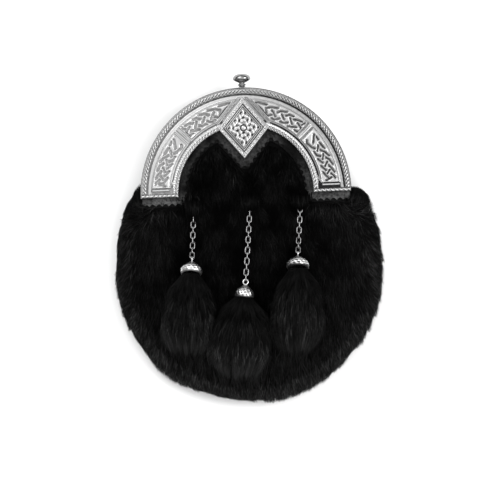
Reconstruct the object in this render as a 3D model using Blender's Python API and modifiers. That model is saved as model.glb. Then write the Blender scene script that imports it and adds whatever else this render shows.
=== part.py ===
"""Dress sporran: a hollow leather pouch with a fur front under a cast half-ring cantle.

It lies on its back. +Z is its front, +Y its top and X runs from side to side.
The origin is the centre of the cantle's arc, on the surface that the pouch lies on.
All lengths are in metres.
"""

import math

import bmesh
import bpy
import numpy as np
from mathutils import Matrix, Vector

MM = 0.001

# Cantle: half ring, lozenge and knob
CANTLE_RADIUS = 75.9 * MM
CANTLE_WIDTH = 27.4 * MM
CANTLE_WEB = 2.2 * MM
CANTLE_RELIEF = 1.7 * MM
FOOT_DROP = 1.3 * MM
DIVIDER_ANGLE = 44.0
DIVIDER_WIDTH = 2.6 * MM
PANEL_MARGIN = 1.2 * MM
FOOT_BAR_UP = 4.0 * MM
FOOT_BAR_WIDTH = 1.4 * MM
LOZENGE_HALF_WIDTH = 18.5 * MM
LOZENGE_HALF_HEIGHT = 22.2 * MM
LOZENGE_INSET = 6.9 * MM
LOZENGE_HEIGHT = 4.6 * MM
LOZENGE_BORDER = 3.4 * MM
BOSS_RISE = 0.9 * MM
PLAIT_STRANDS = 4
PLAIT_PITCH = 7.2 * MM
KNOB_HEIGHT = 9.8 * MM
KNOB_RADIUS = 6.5 * MM

# Leather
LEATHER = 2.0 * MM
BACKING_LEATHER = 1.5 * MM
GUSSET_LEATHER = 1.6 * MM
PANEL_INSET = 3.9 * MM
POUCH_HALF_WIDTH = 87.0 * MM
POUCH_DROP = 130.0 * MM
WIDEST_DROP = 57.0 * MM
MOUTH_DEPTH = 7.4 * MM
BACK_LIFT = 5.6 * MM
RIM_LIFT = 3.0 * MM
RIM_FADE_DROP = 20.0 * MM
BELLY_RISE = 14.0 * MM
BELLY_LENGTH = 60.0 * MM
BELLY_TOP_RISE = 17.0 * MM
GUSSET_BULGE = 3.4 * MM
GUSSET_END_UP = 13.0 * MM
SEAM_INSET = 0.8 * MM
PINKING_SHOWS = 6.0 * MM
PINKING_PITCH = 4.6 * MM
PINKING_DEPTH = 1.7 * MM
PINKING_TIP_DROP = 6.2 * MM
PINKING_TIP_HALF_WIDTH = 3.0 * MM
PINKING_SIDE_INSET = 0.9 * MM

# Fur
FUR_DEPTH = 8.5 * MM
FUR_SIDE = 9.8 * MM
FUR_BOTTOM = 21.0 * MM
FUR_RIM_UP = 11.0 * MM
FUR_LOW = 4.0 * MM
FUR_TOP_TUCK = 3.0 * MM
LOCK_RELIEF = 1.6 * MM
LOCK_TIP = 2.5 * MM

# Chains and tassels
LINK_LENGTH = 6.0 * MM
LINK_WIDTH = 3.9 * MM
LINK_WIRE = 0.9 * MM
EYE_RADIUS = 1.8 * MM
CHAIN_HEIGHT = 2.4 * MM
CHAIN_CLIMB = 14.0 * MM
EYE_HEIGHT = 5.2 * MM
ANCHOR_RADIUS = 2.6 * MM
ANCHOR_THICKNESS = 1.0 * MM
ANCHOR_GAP = 0.5 * MM
TASSEL_DEPTH = 14.0 * MM
TASSEL_RECESS = 2.0 * MM

# Back fittings
RING_WIRE = 2.0 * MM
RING_HALF_WIDTH = 8.0 * MM
RING_REACH = 11.0 * MM
RING_INSET = 19.05 * MM
RING_ANGLE = 39.3
TAB_LENGTH = 22.0 * MM
TAB_WIDTH = 12.0 * MM
TAB_LEATHER = 1.3 * MM
STUD_RADIUS = 6.0 * MM
STUD_INSET = 17.9 * MM

# Clearances between touching pieces
GAP = 0.3 * MM
FUR_CLEARANCE = 0.6 * MM
TASSEL_CLEARANCE = 0.8 * MM

# One row per chain: name, x and y of its anchor, x and y of its cap's eye
CHAINS = [
    ("left", (-37.9 * MM, -10.5 * MM), (-40.3 * MM, -48.3 * MM)),
    ("middle", (2.7 * MM, -8.5 * MM), (-2.9 * MM, -65.8 * MM)),
    ("right", (38.7 * MM, -9.9 * MM), (35.0 * MM, -47.7 * MM)),
]
CHAIN_STEP = 0.2 * MM

# One row per tassel: name, cap radius, cap height, length, half width, x and y of its tip
TASSELS = [
    ("left", 7.6 * MM, 10.0 * MM, 57.0 * MM, 17.0 * MM, (-47.0 * MM, -116.4 * MM)),
    ("middle", 6.5 * MM, 9.5 * MM, 57.0 * MM, 20.0 * MM, (-12.3 * MM, -132.8 * MM)),
    ("right", 7.8 * MM, 10.0 * MM, 58.0 * MM, 17.5 * MM, (32.3 * MM, -115.8 * MM)),
]

CANTLE_STEPS = 28
TURNED_STEPS = 10
WIRE_RING_STEPS = 10
WIRE_STEPS = 5
TASSEL_POINTS = 12
BOSS_SIDES = 8

# Rows across the leather panels: angles on the top arc, shares of the flank, angles on the
# lower half ellipse. The back is lifted between the two named angles of the top arc.
LIFT_START_ANGLE = 8.0
LIFT_END_ANGLE = 21.0
TOP_ARC_ANGLES = (90.0, 74.0, 60.0, 46.0, 33.0, LIFT_END_ANGLE, LIFT_START_ANGLE)
FLANK_SHARES = (0.0, 0.14, 0.33, 0.62, 1.0)
BOTTOM_ANGLES = (20.0, 38.0, 54.0, 67.0, 79.0, 90.0)

# Cantle's cross-section: share of its width from the outer edge, share of its relief
CANTLE_SECTION = [
    (0.000, 0.55),
    (0.045, 0.35),
    (0.115, 1.00),
    (0.180, 0.25),
    (0.205, 0.00),
    (0.225, 0.00),
    (0.270, 0.15),
    (0.800, 0.15),
    (0.830, 0.00),
    (0.860, 0.30),
    (0.930, 0.90),
    (1.000, 0.40),
]

# Cantle's raised forms: shares of its width where each begins and ends, from the outer edge
PANEL_ACROSS = (0.31, 0.77)
DIVIDER_ACROSS = (0.29, 0.79)
FOOT_BAR_ACROSS = (0.30, 0.76)
FOOT_BORDER_ACROSS = (0.03, 0.97)
BAR_RELIEF = 0.9

# Panel's relief: shares at its frame and in the plait's gaps; strands have all of it
FRAME_RELIEF = 0.55
PLAIT_GAP_RELIEF = 0.25

# Lozenge's frames: share of its half width and height, share of its thickness down from the top
LOZENGE_STEPS = [
    (1.00, 0.13),
    (0.96, 0.00),
    (0.86, 0.00),
    (0.82, 0.22),
    (0.76, 0.22),
    (0.73, 0.07),
    (0.66, 0.07),
    (0.62, 0.26),
]

# Bosses on the lozenge's field: shares of its half width and half height, radius as a share
# of its half width
LOZENGE_BOSSES = [
    (0.00, 0.00, 0.17),
    (0.00, 0.30, 0.09),
    (0.00, -0.30, 0.09),
    (0.28, 0.00, 0.07),
    (-0.28, 0.00, 0.07),
]
BOSS_TAPER = 0.4

# Knob's profile: share of its radius, share of its height
KNOB_PROFILE = [
    (0.00, 1.00),
    (0.45, 0.97),
    (0.80, 0.86),
    (1.00, 0.66),
    (0.94, 0.52),
    (0.55, 0.38),
    (0.30, 0.30),
    (0.30, 0.22),
    (0.44, 0.17),
    (0.30, 0.11),
    (0.42, 0.00),
    (0.00, 0.00),
]

# Cap's profile: share of its radius, share of its height down from the top
CAP_PROFILE = [
    (0.00, 0.00),
    (0.26, 0.02),
    (0.38, 0.14),
    (0.50, 0.30),
    (0.78, 0.54),
    (0.94, 0.80),
    (1.00, 1.00),
    (0.88, 1.00),
    (0.84, 0.72),
    (0.00, 0.68),
]

# Stud's profile: share of its radius, share of its height
STUD_PROFILE = [
    (0.0, 1.00),
    (0.9, 1.00),
    (1.0, 0.82),
    (0.6, 0.62),
    (0.6, 0.38),
    (1.0, 0.18),
    (0.9, 0.00),
    (0.0, 0.00),
]

# Fur's rows: angles on the lower half ellipse; shares of the half width at its outermost lock
# and at its underside's edge
FUR_ANGLES = (7.0, 14.0, 22.0, 30.0, 38.0, 47.0, 56.0, 66.0, 75.0, 83.0)
FUR_UPPER_ROWS = 11
FUR_COLUMNS = 15
FUR_LAST_COLUMN = 0.93
FUR_UNDERSIDE = 0.95

# Tassel's head as a share of the cap's radius, and how far a lock's ridge stands out from the
# hollows beside it
TASSEL_HEAD = 0.70
TASSEL_HOLLOW = 0.90

# Tassel's sections: share of the length, of the half width, of the depth, how far it is
# still lifted to the cap, and how round its underside is
TASSEL_SECTIONS = [
    (0.00, 0.31, 0.76, 1.00, 1.00),
    (0.07, 0.36, 0.82, 1.00, 1.00),
    (0.17, 0.54, 0.95, 0.45, 0.80),
    (0.33, 0.74, 1.00, 0.10, 0.50),
    (0.53, 0.91, 1.00, 0.00, 0.35),
    (0.73, 1.00, 0.92, 0.00, 0.30),
    (0.87, 0.90, 0.75, 0.00, 0.30),
    (0.96, 0.66, 0.52, 0.00, 0.30),
    (1.00, 0.38, 0.28, 0.00, 0.40),
]

PANEL_RADIUS = CANTLE_RADIUS - PANEL_INSET
FRONT_UNDER = BACK_LIFT + LEATHER + MOUTH_DEPTH
FRONT_TOP = FRONT_UNDER + LEATHER
BACKING_LOW = FRONT_TOP + GAP
CANTLE_LOW = BACKING_LOW + BACKING_LEATHER + GAP
CANTLE_TOP = CANTLE_LOW + CANTLE_WEB
BACKING_INNER = CANTLE_RADIUS - CANTLE_WIDTH - PINKING_SHOWS
BACKING_FOOT = FOOT_DROP + PINKING_SHOWS
LOZENGE_UP = CANTLE_RADIUS - LOZENGE_INSET - LOZENGE_HALF_HEIGHT
LOZENGE_TIP = LOZENGE_UP - LOZENGE_HALF_HEIGHT
LINK_PITCH = LINK_LENGTH - 2.0 * LINK_WIRE - GAP
EYE_REACH = (LINK_LENGTH - 3.0 * LINK_WIRE - GAP) / 2 + EYE_RADIUS
RING_OUT = (CANTLE_RADIUS - RING_INSET) * math.cos(math.radians(RING_ANGLE))
RING_UP = (CANTLE_RADIUS - RING_INSET) * math.sin(math.radians(RING_ANGLE))


# Scene, collections and materials

def clear_scene():
    for item in list(bpy.data.objects):
        bpy.data.objects.remove(item, do_unlink=True)


def make_collection(name):
    collection = bpy.data.collections.new(name)
    bpy.context.scene.collection.children.link(collection)
    return collection


def make_material(name, colour, roughness, metallic):
    material = bpy.data.materials.new(name)
    material.use_nodes = True
    shader = material.node_tree.nodes["Principled BSDF"]
    shader.inputs["Base Color"].default_value = (*colour, 1.0)
    shader.inputs["Roughness"].default_value = roughness
    shader.inputs["Metallic"].default_value = metallic
    material.diffuse_color = (*colour, 1.0)
    return material


def add_part(name, mesh, material, collection, smooth_angle=None):
    mesh.materials.clear()
    mesh.materials.append(material)
    if smooth_angle is not None:
        mesh.shade_smooth()
        mesh.set_sharp_from_angle(angle=math.radians(smooth_angle))
    part = bpy.data.objects.new(name, mesh)
    collection.objects.link(part)
    return part


def add_tool(name, mesh, collection):
    tool = bpy.data.objects.new(name, mesh)
    collection.objects.link(tool)
    tool.hide_render = True
    tool.display_type = 'WIRE'
    return tool


def add_boolean(part, tool, operation):
    modifier = part.modifiers.new(operation.title(), 'BOOLEAN')
    modifier.operation = operation
    modifier.solver = 'EXACT'
    modifier.object = tool


# Mesh makers

def mesh_from_bmesh(name, bm):
    mesh = bpy.data.meshes.new(name)
    bm.to_mesh(mesh)
    bm.free()
    return mesh


def grid_bmesh(rows):
    """An open sheet through rows of points; a row of equal points closes to one vertex."""
    bm = bmesh.new()
    verts = [[bm.verts.new(point) for point in row] for row in rows]
    for upper, lower in zip(verts, verts[1:]):
        for i in range(len(upper) - 1):
            bm.faces.new((upper[i], lower[i], lower[i + 1], upper[i + 1]))
    bmesh.ops.remove_doubles(bm, verts=bm.verts, dist=0.001 * MM)
    bmesh.ops.triangulate(bm, faces=bm.faces, quad_method='FIXED')
    return bm


def loft_bmesh(rings):
    """A closed body through rings of points, with a flat cap at each end."""
    bm = bmesh.new()
    verts = [[bm.verts.new(point) for point in ring] for ring in rings]
    count = len(verts[0])
    for first, second in zip(verts, verts[1:]):
        for i in range(count):
            j = (i + 1) % count
            bm.faces.new((first[i], first[j], second[j], second[i]))
    bm.faces.new(list(reversed(verts[0])))
    bm.faces.new(verts[-1])
    bmesh.ops.recalc_face_normals(bm, faces=bm.faces)
    return bm


def turned_mesh(name, profile):
    """The half profile that a Screw modifier turns about Z."""
    mesh = bpy.data.meshes.new(name)
    points = [(radius, 0.0, height) for radius, height in profile]
    edges = [(i, i + 1) for i in range(len(points) - 1)]
    mesh.from_pydata(points, edges, [])
    return mesh


def add_screw(part, steps):
    modifier = part.modifiers.new("Turn", 'SCREW')
    modifier.steps = steps
    modifier.render_steps = steps
    modifier.use_merge_vertices = True
    modifier.merge_threshold = 0.00001
    modifier.use_smooth_shade = True


def torus_mesh(name, radius, wire_radius, stretch=0.0):
    """A ring of round wire in the XY plane, drawn out along X by stretch."""
    bpy.ops.mesh.primitive_torus_add(
        major_radius=radius, minor_radius=wire_radius, major_segments=WIRE_RING_STEPS,
        minor_segments=WIRE_STEPS)
    ring = bpy.context.object
    mesh = ring.data
    mesh.name = name
    bpy.data.objects.remove(ring, do_unlink=True)
    for vertex in mesh.vertices:
        vertex.co.x += math.copysign(stretch / 2, vertex.co.x)
    return mesh


def mesh_from_curve(name, curve, matrix=None):
    """The evaluated mesh of a curve, with its caps welded."""
    guide = bpy.data.objects.new(name + "_curve", curve)
    bpy.context.scene.collection.objects.link(guide)
    graph = bpy.context.evaluated_depsgraph_get()
    mesh = bpy.data.meshes.new_from_object(guide.evaluated_get(graph))
    bpy.data.objects.remove(guide, do_unlink=True)
    bm = bmesh.new()
    bm.from_mesh(mesh)
    bmesh.ops.remove_doubles(bm, verts=bm.verts, dist=0.001 * MM)
    if matrix is not None:
        bmesh.ops.transform(bm, matrix=matrix, verts=bm.verts)
    bm.to_mesh(mesh)
    bm.free()
    mesh.name = name
    return mesh


def plate_mesh(name, outlines, thickness, matrix):
    """A flat plate from closed outlines, the later ones being holes in the first."""
    curve = bpy.data.curves.new(name, 'CURVE')
    curve.dimensions = '2D'
    curve.fill_mode = 'BOTH'
    curve.extrude = thickness / 2
    for outline in outlines:
        spline = curve.splines.new('POLY')
        spline.points.add(len(outline) - 1)
        for point, (x, y) in zip(spline.points, outline):
            point.co = (x, y, 0.0, 1.0)
        spline.use_cyclic_u = True
    return mesh_from_curve(name, curve, matrix)


def box_bmesh(bm, centre, size, turn=0.0):
    """Adds a box, turned about Z through its own centre."""
    matrix = Matrix.Translation(centre) @ Matrix.Rotation(turn, 4, 'Z')
    matrix = matrix @ Matrix.Diagonal((*size, 1.0))
    bmesh.ops.create_cube(bm, size=1.0, matrix=matrix)


# Outlines of the leather and the fur, seen from the front

def smooth_step(t):
    t = min(max(t, 0.0), 1.0)
    return t * t * (3.0 - 2.0 * t)


def leather_half_width(y):
    """Arc of the panel's top, an easing flank, then half an ellipse."""
    if y >= 0.0:
        return math.sqrt(max(PANEL_RADIUS ** 2 - y ** 2, 0.0))
    if y > -WIDEST_DROP:
        ease = 1.0 - (1.0 + y / WIDEST_DROP) ** 3.2
        return PANEL_RADIUS + (POUCH_HALF_WIDTH - PANEL_RADIUS) * ease
    share = (-y - WIDEST_DROP) / (POUCH_DROP - WIDEST_DROP)
    return POUCH_HALF_WIDTH * math.sqrt(max(1.0 - share ** 2, 0.0))


def fur_half_width(y):
    if y > -WIDEST_DROP:
        return leather_half_width(y) + FUR_SIDE
    share = (-y - WIDEST_DROP) / (POUCH_DROP + FUR_BOTTOM - WIDEST_DROP)
    return (POUCH_HALF_WIDTH + FUR_SIDE) * math.sqrt(max(1.0 - share ** 2, 0.0))


def reach(x, y, half_width, lower_end):
    """0 on the middle line and 1 on the outline, on flank and ellipse alike."""
    if y > -WIDEST_DROP:
        return min(abs(x) / max(half_width(y), GAP), 1.0)
    widest = half_width(-WIDEST_DROP)
    down = (-y - WIDEST_DROP) / (lower_end - WIDEST_DROP)
    return min(math.hypot(x / widest, down), 1.0)


def outward(x, y):
    """The outline's outward direction at a point of the leather's edge."""
    side = math.copysign(1.0, x)
    if y > 0.0:
        return Vector((x, y, 0.0)).normalized()
    if y <= -WIDEST_DROP:
        down = (y + WIDEST_DROP) / (POUCH_DROP - WIDEST_DROP) ** 2
        return Vector((x / POUCH_HALF_WIDTH ** 2, down, 0.0)).normalized()
    slope = (leather_half_width(y) - leather_half_width(y - MM)) / MM
    return Vector((side, -slope, 0.0)).normalized()


def panel_levels():
    levels = [PANEL_RADIUS * math.sin(math.radians(angle)) for angle in TOP_ARC_ANGLES]
    levels += [-WIDEST_DROP * share for share in FLANK_SHARES]
    lower = POUCH_DROP - WIDEST_DROP
    levels += [-WIDEST_DROP - lower * math.sin(math.radians(a)) for a in BOTTOM_ANGLES]
    return levels


# Heights of the panels and of the fur above the surface that the pouch lies on

def front_height(x, y):
    """Flat under the cantle, then the belly's dome."""
    spread = max(1.0 - (x / BACKING_INNER) ** 2, 0.0) ** 2
    start = -BACKING_FOOT + BELLY_TOP_RISE * spread
    rise = smooth_step((start - y) / BELLY_LENGTH)
    edge = reach(x, y, leather_half_width, POUCH_DROP)
    return FRONT_TOP + BELLY_RISE * rise * (1.0 - edge ** 2.6)


def back_height(x, y):
    """Flat where it rests, turned up at the rim, lifted above the strap rings."""
    start = PANEL_RADIUS * math.sin(math.radians(LIFT_START_ANGLE))
    end = PANEL_RADIUS * math.sin(math.radians(LIFT_END_ANGLE))
    lift = BACK_LIFT * smooth_step((y - start) / (end - start))
    edge = reach(x, y, leather_half_width, POUCH_DROP)
    fade = 1.0 - smooth_step((y + RIM_FADE_DROP) / (RIM_FADE_DROP + start))
    return lift + RIM_LIFT * fade * smooth_step((edge - 0.8) / 0.2)


def fur_height(x, y):
    """Crests of the fur's locks."""
    edge = reach(x, y, fur_half_width, POUCH_DROP + FUR_BOTTOM)
    full = front_height(x, y) + GAP + FUR_DEPTH
    return FUR_RIM_UP + (full - FUR_RIM_UP) * math.sqrt(1.0 - edge ** 8)


# Leather pieces

def panel_rows(height, columns):
    rows = []
    for y in panel_levels():
        half = leather_half_width(y)
        rows.append([(half * share, y, height(half * share, y)) for share in columns])
    return rows


def make_front_panel(material, collection):
    bm = grid_bmesh(panel_rows(front_height, (-1.0, -0.78, -0.42, 0.0, 0.42, 0.78, 1.0)))
    part = add_part("front_panel", mesh_from_bmesh("front_panel", bm), material, collection, 40)
    add_shell(part, LEATHER)


def make_back_panel(material, collection):
    bm = grid_bmesh(panel_rows(back_height, (-1.0, -0.8, 0.0, 0.8, 1.0)))
    bmesh.ops.reverse_faces(bm, faces=bm.faces)
    part = add_part("back_panel", mesh_from_bmesh("back_panel", bm), material, collection, 40)
    add_shell(part, LEATHER)


def add_shell(part, thickness):
    modifier = part.modifiers.new("Wall", 'SOLIDIFY')
    modifier.thickness = thickness
    modifier.offset = -1.0


def make_gusset(material, collection):
    """A folded wall from one foot of the cantle round the bottom to the other."""
    levels = [GUSSET_END_UP, GUSSET_END_UP / 2]
    levels += [y for y in panel_levels() if y <= 0.0]
    right = [(leather_half_width(y), y) for y in levels]
    left = [(-x, y) for x, y in reversed(right[:-1])]
    rings = []
    for x, y in right + left:
        direction = outward(x, y) if abs(x) > MM else Vector((0.0, -1.0, 0.0))
        low = back_height(x, y) + LEATHER + 2.2 * GAP
        high = FRONT_UNDER - GAP
        fold = [(0.0, -SEAM_INSET), (0.33, 0.9 * GUSSET_BULGE), (0.67, GUSSET_BULGE),
                (1.0, -SEAM_INSET)]
        outer = [(low + (high - low) * up, out) for up, out in fold]
        inner = [(z, out - GUSSET_LEATHER) for z, out in reversed(outer)]
        ring = []
        for z, out in outer + inner:
            ring.append((x + direction.x * out, y + direction.y * out, z))
        rings.append(ring)
    mesh = mesh_from_bmesh("gusset", loft_bmesh(rings))
    add_part("gusset", mesh, material, collection, 35)


def backing_inner_edge(clearance=0.0):
    """Left to right: under a foot, up the arc, round the lozenge's tip and down again."""
    radius = BACKING_INNER - clearance
    foot = -BACKING_FOOT - clearance
    tip = LOZENGE_TIP - PINKING_TIP_DROP - clearance
    slope = LOZENGE_HALF_HEIGHT / LOZENGE_HALF_WIDTH
    half = PINKING_TIP_HALF_WIDTH + clearance / 2
    a = 1.0 + slope ** 2
    b = slope * (tip - slope * half)
    c = (tip - slope * half) ** 2 - radius ** 2
    meet_x = (-b + math.sqrt(b ** 2 - a * c)) / a
    first = math.asin(foot / radius)
    last = math.acos(meet_x / radius)
    arc = [(radius * math.cos(t), radius * math.sin(t)) for t in np.linspace(first, last, 24)]
    right = list(reversed(arc))
    right.insert(0, (half, tip))
    left = [(-x, y) for x, y in reversed(right)]
    return left + right


def pinked(path):
    """Teeth along a path: every second point is cut back into the leather."""
    path = np.array(path)
    steps = np.hypot(*np.diff(path, axis=0).T)
    along = np.concatenate(([0.0], np.cumsum(steps)))
    count = 2 * round(along[-1] / PINKING_PITCH) + 1
    places = np.linspace(0.0, along[-1], count)
    points = np.stack([np.interp(places, along, path[:, k]) for k in range(2)], axis=1)
    tangent = np.gradient(points, axis=0)
    tangent /= np.hypot(*tangent.T)[:, None]
    normal = np.stack([-tangent[:, 1], tangent[:, 0]], axis=1)
    cut = np.where(np.arange(count) % 2 == 1, PINKING_DEPTH, 0.0)
    return [tuple(point) for point in points + normal * cut[:, None]]


def make_leather_backing(material, collection):
    radius = CANTLE_RADIUS - PINKING_SIDE_INSET
    low = math.asin(-BACKING_FOOT / radius)
    arc = [(radius * math.cos(t), radius * math.sin(t))
           for t in np.linspace(low, math.pi - low, CANTLE_STEPS)]
    inner = backing_inner_edge()
    foot = pinked([arc[-1], inner[0]])
    other_foot = pinked([inner[-1], arc[0]])
    outline = arc[:-1] + foot[:-1] + pinked(inner)[:-1] + other_foot[:-1]
    place = Matrix.Translation((0.0, 0.0, BACKING_LOW + BACKING_LEATHER / 2))
    mesh = plate_mesh("leather_backing", [outline], BACKING_LEATHER, place)
    add_part("leather_backing", mesh, material, collection)


# Fur

def envelope_mesh():
    """The room that the fur leaves for the leather: the panel's dome, with a skirt round it."""
    columns = (-1.0, -0.78, -0.42, 0.0, 0.42, 0.78, 1.0)
    rows = panel_rows(lambda x, y: front_height(x, y) + GAP, columns)
    bm = grid_bmesh(rows)
    edges = [edge for edge in bm.edges if edge.is_boundary]
    for out, low in ((GUSSET_BULGE + FUR_CLEARANCE, None), (0.0, -FUR_RIM_UP)):
        made = bmesh.ops.extrude_edge_only(bm, edges=edges)["geom"]
        edges = [item for item in made if isinstance(item, bmesh.types.BMEdge)]
        for vertex in {vertex for edge in edges for vertex in edge.verts}:
            x, y = vertex.co.x, vertex.co.y
            direction = outward(x, y) if abs(x) > MM else Vector((0.0, math.copysign(1.0, y), 0.0))
            vertex.co += direction * out
            if low is not None:
                vertex.co.z = low
    bmesh.ops.contextual_create(bm, geom=edges)
    bmesh.ops.recalc_face_normals(bm, faces=bm.faces)
    return mesh_from_bmesh("fur_room_for_leather", bm)


def cantle_room_mesh():
    """The room that the fur leaves for the cantle and its pinked backing."""
    inner = backing_inner_edge(FUR_CLEARANCE)
    far = 2.0 * POUCH_HALF_WIDTH
    foot = inner[0][1]
    outline = [(far, foot), (far, far), (-far, far), (-far, foot)] + inner
    place = Matrix.Translation((0.0, 0.0, FRONT_TOP))
    return plate_mesh("fur_room_for_cantle", [outline], 4.0 * FRONT_TOP, place)


def make_fur_cover(material, collection, tools):
    """Locks in staggered rows, cut to the leather below and to the backing's edge above."""
    lower = POUCH_DROP + FUR_BOTTOM - WIDEST_DROP
    levels = list(np.linspace(BACKING_INNER + FUR_TOP_TUCK, -WIDEST_DROP, FUR_UPPER_ROWS))
    levels += [-WIDEST_DROP - lower * math.sin(math.radians(a)) for a in FUR_ANGLES]
    shares = np.linspace(-FUR_LAST_COLUMN, FUR_LAST_COLUMN, FUR_COLUMNS)
    rings = []
    for row, y in enumerate(levels):
        half = fur_half_width(y) + (0.5 if row % 2 else -0.5) * LOCK_RELIEF
        ring = [(-half, y, FUR_RIM_UP)]
        for column, share in enumerate(shares):
            x = share * half
            crest = fur_height(x, y)
            z = crest if (row + column) % 2 == 0 else crest - LOCK_RELIEF
            ring.append((x, y, z))
        ring.append((half, y, FUR_RIM_UP))
        ring.append((FUR_UNDERSIDE * half, y, FUR_LOW))
        ring.append((-FUR_UNDERSIDE * half, y, FUR_LOW))
        rings.append(ring)
    mesh = mesh_from_bmesh("fur_cover", loft_bmesh(rings))
    part = add_part("fur_cover", mesh, material, collection, 60)
    add_boolean(part, add_tool("fur_room_for_leather", envelope_mesh(), tools), 'DIFFERENCE')
    add_boolean(part, add_tool("fur_room_for_cantle", cantle_room_mesh(), tools), 'DIFFERENCE')


# Cantle and knob

def cantle_height(share):
    return CANTLE_TOP + CANTLE_RELIEF * share


def cantle_ring_mesh():
    """The section swept round the half circle; each foot is cut level across."""
    section = [(across_cantle(share), cantle_height(up)) for share, up in CANTLE_SECTION]
    section.append((across_cantle(1.0), CANTLE_LOW))
    section.append((CANTLE_RADIUS, CANTLE_LOW))
    rings = []
    for turn in np.linspace(0.0, 1.0, CANTLE_STEPS + 1):
        ring = []
        for radius, z in section:
            foot = math.asin(FOOT_DROP / radius)
            angle = -foot + (math.pi + 2.0 * foot) * turn
            ring.append((radius * math.cos(angle), radius * math.sin(angle), z))
        rings.append(ring)
    return mesh_from_bmesh("cantle", loft_bmesh(rings))


def across_cantle(share):
    """Radius at a share of the cantle's width from its outer edge."""
    return CANTLE_RADIUS - CANTLE_WIDTH * share


def lozenge_angle(radius, margin):
    """Where a circle about the arc's centre meets a line beside the lozenge's upper edge."""
    normal = math.atan2(LOZENGE_HALF_WIDTH, LOZENGE_HALF_HEIGHT)
    distance = (LOZENGE_UP + LOZENGE_HALF_HEIGHT) * math.sin(normal) + margin
    return normal + math.acos(distance / radius)


def plait_height(i, j):
    """Relief of a plain plait, 0 in its gaps and 1 on its strands; crossings lie 2 apart."""
    rising = 0.5 - 0.5 * math.cos(math.pi * (i - j) / 2.0)
    falling = 0.5 - 0.5 * math.cos(math.pi * (i + j) / 2.0)
    return max(rising, falling)


def add_plait_panel(bm, first_angle, last_angle, mirrored):
    """A raised panel between two angles, each a function of the radius."""
    outer, inner = [across_cantle(share) for share in PANEL_ACROSS]
    rows = 2 * PLAIT_STRANDS
    middle = (outer + inner) / 2
    length = abs(last_angle(middle) - first_angle(middle)) * middle
    columns = 2 * round(2.0 * length / PLAIT_PITCH)
    top = []
    for j in range(rows + 1):
        radius = inner + (outer - inner) * j / rows
        line = []
        for i in range(columns + 1):
            angle = first_angle(radius)
            angle += (last_angle(radius) - angle) * i / columns
            framed = j in (0, rows) or i in (0, columns)
            strand = PLAIT_GAP_RELIEF + (1.0 - PLAIT_GAP_RELIEF) * plait_height(i, j)
            up = FRAME_RELIEF if framed else strand
            x = radius * math.cos(angle) * (-1.0 if mirrored else 1.0)
            line.append(bm.verts.new((x, radius * math.sin(angle), cantle_height(up))))
        top.append(line)
    for j in range(rows):
        for i in range(columns):
            corners = (top[j][i], top[j][i + 1], top[j + 1][i + 1], top[j + 1][i])
            if (i + j) % 2:
                bm.faces.new((corners[0], corners[1], corners[2]))
                bm.faces.new((corners[0], corners[2], corners[3]))
            else:
                bm.faces.new((corners[0], corners[1], corners[3]))
                bm.faces.new((corners[1], corners[2], corners[3]))
    rim = top[0] + [line[-1] for line in top[1:]]
    rim += list(reversed(top[-1][:-1])) + [line[0] for line in reversed(top[1:-1])]
    low = CANTLE_LOW + CANTLE_WEB / 2
    floor = [bm.verts.new((vertex.co.x, vertex.co.y, low)) for vertex in rim]
    for k in range(len(rim)):
        n = (k + 1) % len(rim)
        bm.faces.new((rim[k], rim[n], floor[n], floor[k]))
    bm.faces.new(floor)


def add_lozenge(bm):
    """Nested frames step down to a field with a plain boss and four beads."""
    low = CANTLE_LOW + GAP / 2
    top = CANTLE_LOW + LOZENGE_HEIGHT
    corners = [(LOZENGE_HALF_WIDTH, 0.0), (0.0, LOZENGE_HALF_HEIGHT),
               (-LOZENGE_HALF_WIDTH, 0.0), (0.0, -LOZENGE_HALF_HEIGHT)]
    steps = [(1.0, low)]
    steps += [(share, top - LOZENGE_HEIGHT * down) for share, down in LOZENGE_STEPS]
    rings = [[bm.verts.new((x * share, LOZENGE_UP + y * share, z)) for x, y in corners]
             for share, z in steps]
    bm.faces.new(list(reversed(rings[0])))
    for lower, upper in zip(rings, rings[1:]):
        for i in range(4):
            j = (i + 1) % 4
            bm.faces.new((lower[i], lower[j], upper[j], upper[i]))
    bm.faces.new(rings[-1])


def add_lozenge_bosses(bm):
    field = CANTLE_LOW + LOZENGE_HEIGHT * (1.0 - LOZENGE_STEPS[-1][1])
    for across, up, share in LOZENGE_BOSSES:
        x = across * LOZENGE_HALF_WIDTH
        y = LOZENGE_UP + up * LOZENGE_HALF_HEIGHT
        radius = share * LOZENGE_HALF_WIDTH
        flat_side_up = Matrix.Rotation(math.pi / BOSS_SIDES, 4, 'Z')
        bmesh.ops.create_cone(
            bm, cap_ends=True, segments=BOSS_SIDES, radius1=radius, radius2=BOSS_TAPER * radius,
            depth=2.0 * BOSS_RISE, matrix=Matrix.Translation((x, y, field)) @ flat_side_up)


def add_bar(bm, across, width, height, side, up, turn):
    """A straight bar across the cantle between two shares of its width, standing on its web."""
    outer, inner = [across_cantle(share) for share in across]
    middle = (outer + inner) / 2
    centre = Vector((side * middle * math.cos(turn), up + middle * math.sin(turn),
                     CANTLE_LOW + (CANTLE_WEB + height) / 2))
    box_bmesh(bm, centre, (outer - inner, width, height), side * turn)


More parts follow.
